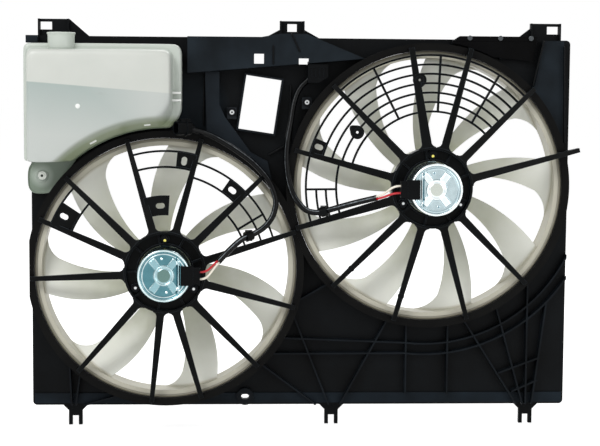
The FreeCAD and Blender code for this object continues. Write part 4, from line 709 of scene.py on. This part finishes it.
# The shell's outlines from back to front: the depth, and how far each side has moved in.
tank_steps = [
    (0.0345, 0.0030, 0.0030, 0.0030, 0.0030), (0.0350, 0.0010, 0.0010, 0.0010, 0.0010),
    (0.0380, 0.0002, 0.0002, 0.0002, 0.0002), (0.0740, 0.0001, 0.0001, 0.0001, 0.0001),
    (0.0770, 0.0008, 0.0008, 0.0008, 0.0006), (0.0784, 0.0026, 0.0030, 0.0026, 0.0010),
    (0.0786, 0.0045, 0.0090, 0.0060, 0.0016), (0.0778, 0.0056, 0.0106, 0.0072, 0.0020),
    (0.0790, 0.0064, 0.0116, 0.0080, 0.0028), (0.0960, 0.0072, 0.0126, 0.0088, 0.0090),
    (0.1050, 0.0078, 0.0134, 0.0094, 0.0126), (0.1092, 0.0092, 0.0150, 0.0106, 0.0146),
    (0.1112, 0.0122, 0.0180, 0.0134, 0.0176), (0.1118, 0.0170, 0.0230, 0.0180, 0.0224),
]
tank_points = []
for depth, left_in, right_in, top_in, arc_in in tank_steps:
    bend = 1.0 + 60.0 * max(0.0, depth - 0.1050)
    tank_points += tank_ring(depth, left_in, right_in, top_in, arc_in, bend)
ring_count = len(tank_points) // len(tank_steps)
tank_middle = (-0.292, 0.186)
last_ring = tank_points[-ring_count:]
for shrink in (0.72, 0.42, 0.14):
    tank_points += [(tank_middle[0] + (x - tank_middle[0]) * shrink, -0.1120,
                     tank_middle[1] + (z - tank_middle[1]) * shrink) for x, y, z in last_ring]
tank_faces = bridge(len(tank_steps) + 3, ring_count)
tank_faces.append(tuple(range(len(tank_points) - ring_count, len(tank_points))))
tank_faces.append(tuple(reversed(range(ring_count))))
tank = shaped("tank_shell", tank_points, tank_faces, tank_white, "shroud", 1)
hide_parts("reservoir_tank")

# The filler neck's section, as radius and height, from the bottom of its bore over the lip.
neck_x, neck_depth = -0.3292, 0.078
neck_sides = 48
neck_profile = [
    (0.0142, 0.2345), (0.0142, 0.2590), (0.0148, 0.2602), (0.0158, 0.2606), (0.0184, 0.2606),
    (0.0191, 0.2603), (0.0193, 0.2596), (0.0192, 0.2589), (0.0187, 0.2580), (0.0183, 0.2570),
    (0.0181, 0.2553), (0.0180, 0.2508), (0.0180, 0.2428), (0.0179, 0.2345),
]
neck_points = []
for radius, height in neck_profile:
    for step in range(neck_sides):
        turn = 2 * math.pi * step / neck_sides
        neck_points.append((neck_x + radius * math.cos(turn), radius * math.sin(turn) - neck_depth,
                            height))
shaped("tank_neck", neck_points, bridge(len(neck_profile), neck_sides, closed=True), tank_white,
       "shroud")

# The fixing tab: its outline, a low rim along it, and a raised pad round the screw.
tab_edge = [(-0.3800, 0.0930), (-0.3804, 0.0600), (-0.3797, 0.0480), (-0.3740, 0.0410),
            (-0.3660, 0.0400), (-0.3540, 0.0400), (-0.3460, 0.0425), (-0.3400, 0.0510),
            (-0.3350, 0.0585), (-0.3270, 0.0690), (-0.3150, 0.0845), (-0.3080, 0.0930)]
tab_x, tab_z = tank_screw_place
tab_points = []
for depth, share in ((0.0342, 1.0), (0.0382, 1.0), (0.0392, 0.99), (0.0394, 0.97), (0.0390, 0.94),
                     (0.0378, 0.90), (0.0374, 0.84)):
    tab_points += [(tab_x + (x - tab_x) * share, -depth, tab_z + (z - tab_z) * share)
                   for x, z in tab_edge]
for depth, reach in ((0.0374, 0.0112), (0.0378, 0.0100), (0.0386, 0.0092), (0.0388, 0.0082),
                     (0.0384, 0.0074), (0.0380, 0.0066), (0.0390, 0.0060), (0.0396, 0.0052),
                     (0.0342, 0.0050)):
    for x, z in tab_edge:
        turn = math.atan2(z - tab_z, x - tab_x)
        tab_points.append((tab_x + reach * math.cos(turn), -depth, tab_z + reach * math.sin(turn)))
tab_rings = len(tab_points) // len(tab_edge)
shaped("tank_tab", tab_points, bridge(tab_rings, len(tab_edge), closed=True), tank_white,
       "shroud", 2)

# Two short ribs on the right side, and two along the arc.
for index, (x, depth, z, length, turn) in enumerate((
        (-0.1740, 0.0830, 0.1805, 0.0130, 0.0), (-0.1740, 0.0830, 0.1705, 0.0130, 0.0),
        (-0.2131, 0.0860, 0.1375, 0.0090, 0.10), (-0.2860, 0.0860, 0.1137, 0.0100, 0.50))):
    soft_block("tank_rib_%d" % (index + 1), (x, -depth, z), (length, 0.012, 0.0032), turn,
               rib_white, "shroud")

# The small round mark on the front face, a low dome.
mark_x, mark_depth, mark_z = -0.3043, 0.1119, 0.1619
mark_sides = 24
dome = ((0.0001, 0.0009), (0.0015, 0.0008), (0.0026, 0.0005), (0.0034, 0.0), (0.0036, -0.0004))
dome_points = []
for radius, rise in dome:
    for step in range(mark_sides):
        turn = 2 * math.pi * step / mark_sides
        dome_points.append((mark_x + radius * math.cos(turn), -mark_depth - rise,
                            mark_z + radius * math.sin(turn)))
dome_faces = bridge(len(dome), mark_sides)
dome_faces.append(tuple(range(mark_sides)))
dome_faces.append(tuple(range(len(dome_points) - mark_sides, len(dome_points))))
shaped("tank_mark", dome_points, dome_faces, rib_white, "shroud")


# Air flap: a sheet of black EPDM rubber, matt and flat. Three grey nylon pins hold its top strip
# on the shroud, and the rest hangs and swings.

# The rubber's and the pins' paler edges are a painted highlight.
rubber = moulded("rubber_black", "#030303", "#060607", "#101113", 0.62, 0.05, 0.0012, 0.0002,
                 0.0004)
finish_nodes(rubber, "flap_strip", "rubber_flap")
finish_nodes(moulded("nylon_grey", "#34393c", "#43494c", "#63696c", 0.45, 0.5, 0.0008, 0.0001),
             "flap_pins")


# Leads: two PVC wires from each motor, red and white, in a woven polyester sleeve. The wires are
# smooth and glossy, with a painted highlight on their edges. The sleeve is black, with a painted
# highlight along its upper side for the shine of its threads.

# The wires' paler edges are a painted highlight.
finish_nodes(moulded("wire_red", "#b00d1c", "#d01024", "#e2404c", 0.35, 0.5, 0.0010, 0.00005),
             "left_red_wire", "right_red_wire")
finish_nodes(moulded("wire_white", "#ece6d6", "#f7f2e4", "#ffffff", 0.35, 0.5, 0.0010, 0.00005),
             "left_white_wire", "right_white_wire")


def woven_sleeve():
    """Black woven sleeve, with a painted highlight along its upper shoulder for its threads' shine.

    The weave is drawn at 4.5 mm, coarser than real, so that it shows.
    """
    material, tree, place = blank("woven_sleeve")
    coordinates = add(tree, "TexCoord", {})
    turned = add(tree, "SeparateXYZ", {"Vector": coordinates.outputs["Normal"]})
    # Painted highlight: a pale line on the upper shoulder, fading towards the back of the run.
    shoulder = add(tree, "Math", {0: turned.outputs["Y"], 1: -0.80, 2: 0.06}, operation="COMPARE")
    lean = add(tree, "VectorMath", {0: coordinates.outputs["Normal"], 1: (-0.50, 0.0, 0.86)},
               operation="DOT_PRODUCT")
    upper = add(tree, "MapRange", {"Value": lean.outputs["Value"], "From Min": 0.10,
                                   "From Max": 0.30})
    weave = add(tree, "TexNoise", {"Vector": place, "Scale": 1 / 0.0045, "Detail": 3.0})
    patch = add(tree, "MapRange", {"Value": weave.outputs["Fac"], "From Min": 0.40,
                                   "From Max": 0.62, "To Min": 0.35, "To Max": 1.0})
    line = add(tree, "Math", {0: shoulder.outputs[0], 1: upper.outputs[0]}, operation="MULTIPLY")
    parts = add(tree, "SeparateXYZ", {"Vector": place})
    front = add(tree, "MapRange", {"Value": parts.outputs["Y"], "From Min": -0.062,
                                   "From Max": -0.080, "To Min": 0.15})
    bright = add(tree, "Math", {0: front.outputs[0], 1: patch.outputs[0]}, operation="MULTIPLY")
    share = add(tree, "Math", {0: line.outputs[0], 1: bright.outputs[0]}, operation="MULTIPLY")
    colour = add(tree, "Mix", {"Factor": share.outputs[0], "A": linear("#050607"),
                               "B": linear("#7c8388")}, data_type="RGBA")
    thread = add(tree, "Bump", {"Height": weave.outputs["Fac"], "Strength": 0.4,
                                "Distance": 0.0003})
    surface = add(tree, "BsdfPrincipled", {"Base Color": colour.outputs["Result"],
                                           "Roughness": 0.26, "Specular IOR Level": 0.12,
                                           "Normal": thread.outputs[0]})
    add(tree, "OutputMaterial", {"Surface": surface.outputs[0]})
    return material


finish_nodes(woven_sleeve(), "left_sleeve", "right_sleeve")


# Studio: a white floor and a white surround, a soft lamp at the upper left, a weaker one at the
# right, and one behind that shows how milky the plastics are.

def looked_at(tree):
    """1 where the camera, a gloss or clear matter looks, and 0 where light is only gathered."""
    path = add(tree, "LightPath", {})
    seen = add(tree, "Math", {0: path.outputs["Is Camera Ray"], 1: path.outputs["Is Glossy Ray"]},
               operation="MAXIMUM")
    either = add(tree, "Math", {0: seen.outputs[0], 1: path.outputs["Is Transmission Ray"]},
                 operation="MAXIMUM")
    return either.outputs[0]


def sweep_white():
    """White floor paint that keeps the unit's shadow and is white to the camera."""
    material, tree, _ = blank("floor_white")
    paint = add(tree, "BsdfDiffuse", {"Color": (0.9, 0.9, 0.9, 1.0)})
    glow = add(tree, "Emission", {"Color": (1.0, 1.0, 1.0, 1.0), "Strength": 0.55})
    both = add(tree, "AddShader", {0: paint.outputs[0], 1: glow.outputs[0]})
    shown = add(tree, "MixShader", {0: looked_at(tree), 1: paint.outputs[0], 2: both.outputs[0]})
    add(tree, "OutputMaterial", {"Surface": shown.outputs[0]})
    return material


floor_mesh = bpy.data.meshes.new("floor")
floor_half = 40.0
floor_mesh.from_pydata(
    [(x * floor_half, y * floor_half, cad_low.z - 0.0005)
     for x, y in ((-1, -1), (1, -1), (1, 1), (-1, 1))], [], [(0, 1, 2, 3)])
floor_mesh.materials.append(sweep_white())
floor = bpy.data.objects.new("floor", floor_mesh)
bpy.context.scene.collection.objects.link(floor)

world = bpy.data.worlds.new("studio")
bpy.context.scene.world = world
world.use_nodes = True
world.node_tree.nodes.clear()
sky_soft = add(world.node_tree, "Background", {"Color": (1.0, 1.0, 1.0, 1.0), "Strength": 0.5})
sky_white = add(world.node_tree, "Background", {"Color": (1.0, 1.0, 1.0, 1.0), "Strength": 1.0})
sky = add(world.node_tree, "MixShader", {0: looked_at(world.node_tree), 1: sky_soft.outputs[0],
                                         2: sky_white.outputs[0]})
add(world.node_tree, "OutputWorld", {"Surface": sky.outputs[0]})

for lamp_name, lamp_place, lamp_power, lamp_size in (
        ("key", (-1.6, -2.2, 2.0), 55.0, 1.4),
        ("fill", (2.2, -2.4, 0.8), 18.0, 1.6),
        ("behind", (0.4, 1.8, 1.6), 22.0, 1.6)):
    lamp = bpy.data.objects.new(lamp_name, bpy.data.lights.new(lamp_name, "AREA"))
    lamp.data.energy = lamp_power
    lamp.data.size = lamp_size
    lamp.location = lamp_place
    lamp.rotation_mode = "QUATERNION"
    lamp.rotation_quaternion = (-Vector(lamp_place)).to_track_quat("-Z", "Y")
    bpy.context.scene.collection.objects.link(lamp)

bpy.context.scene.view_settings.view_transform = "Standard"
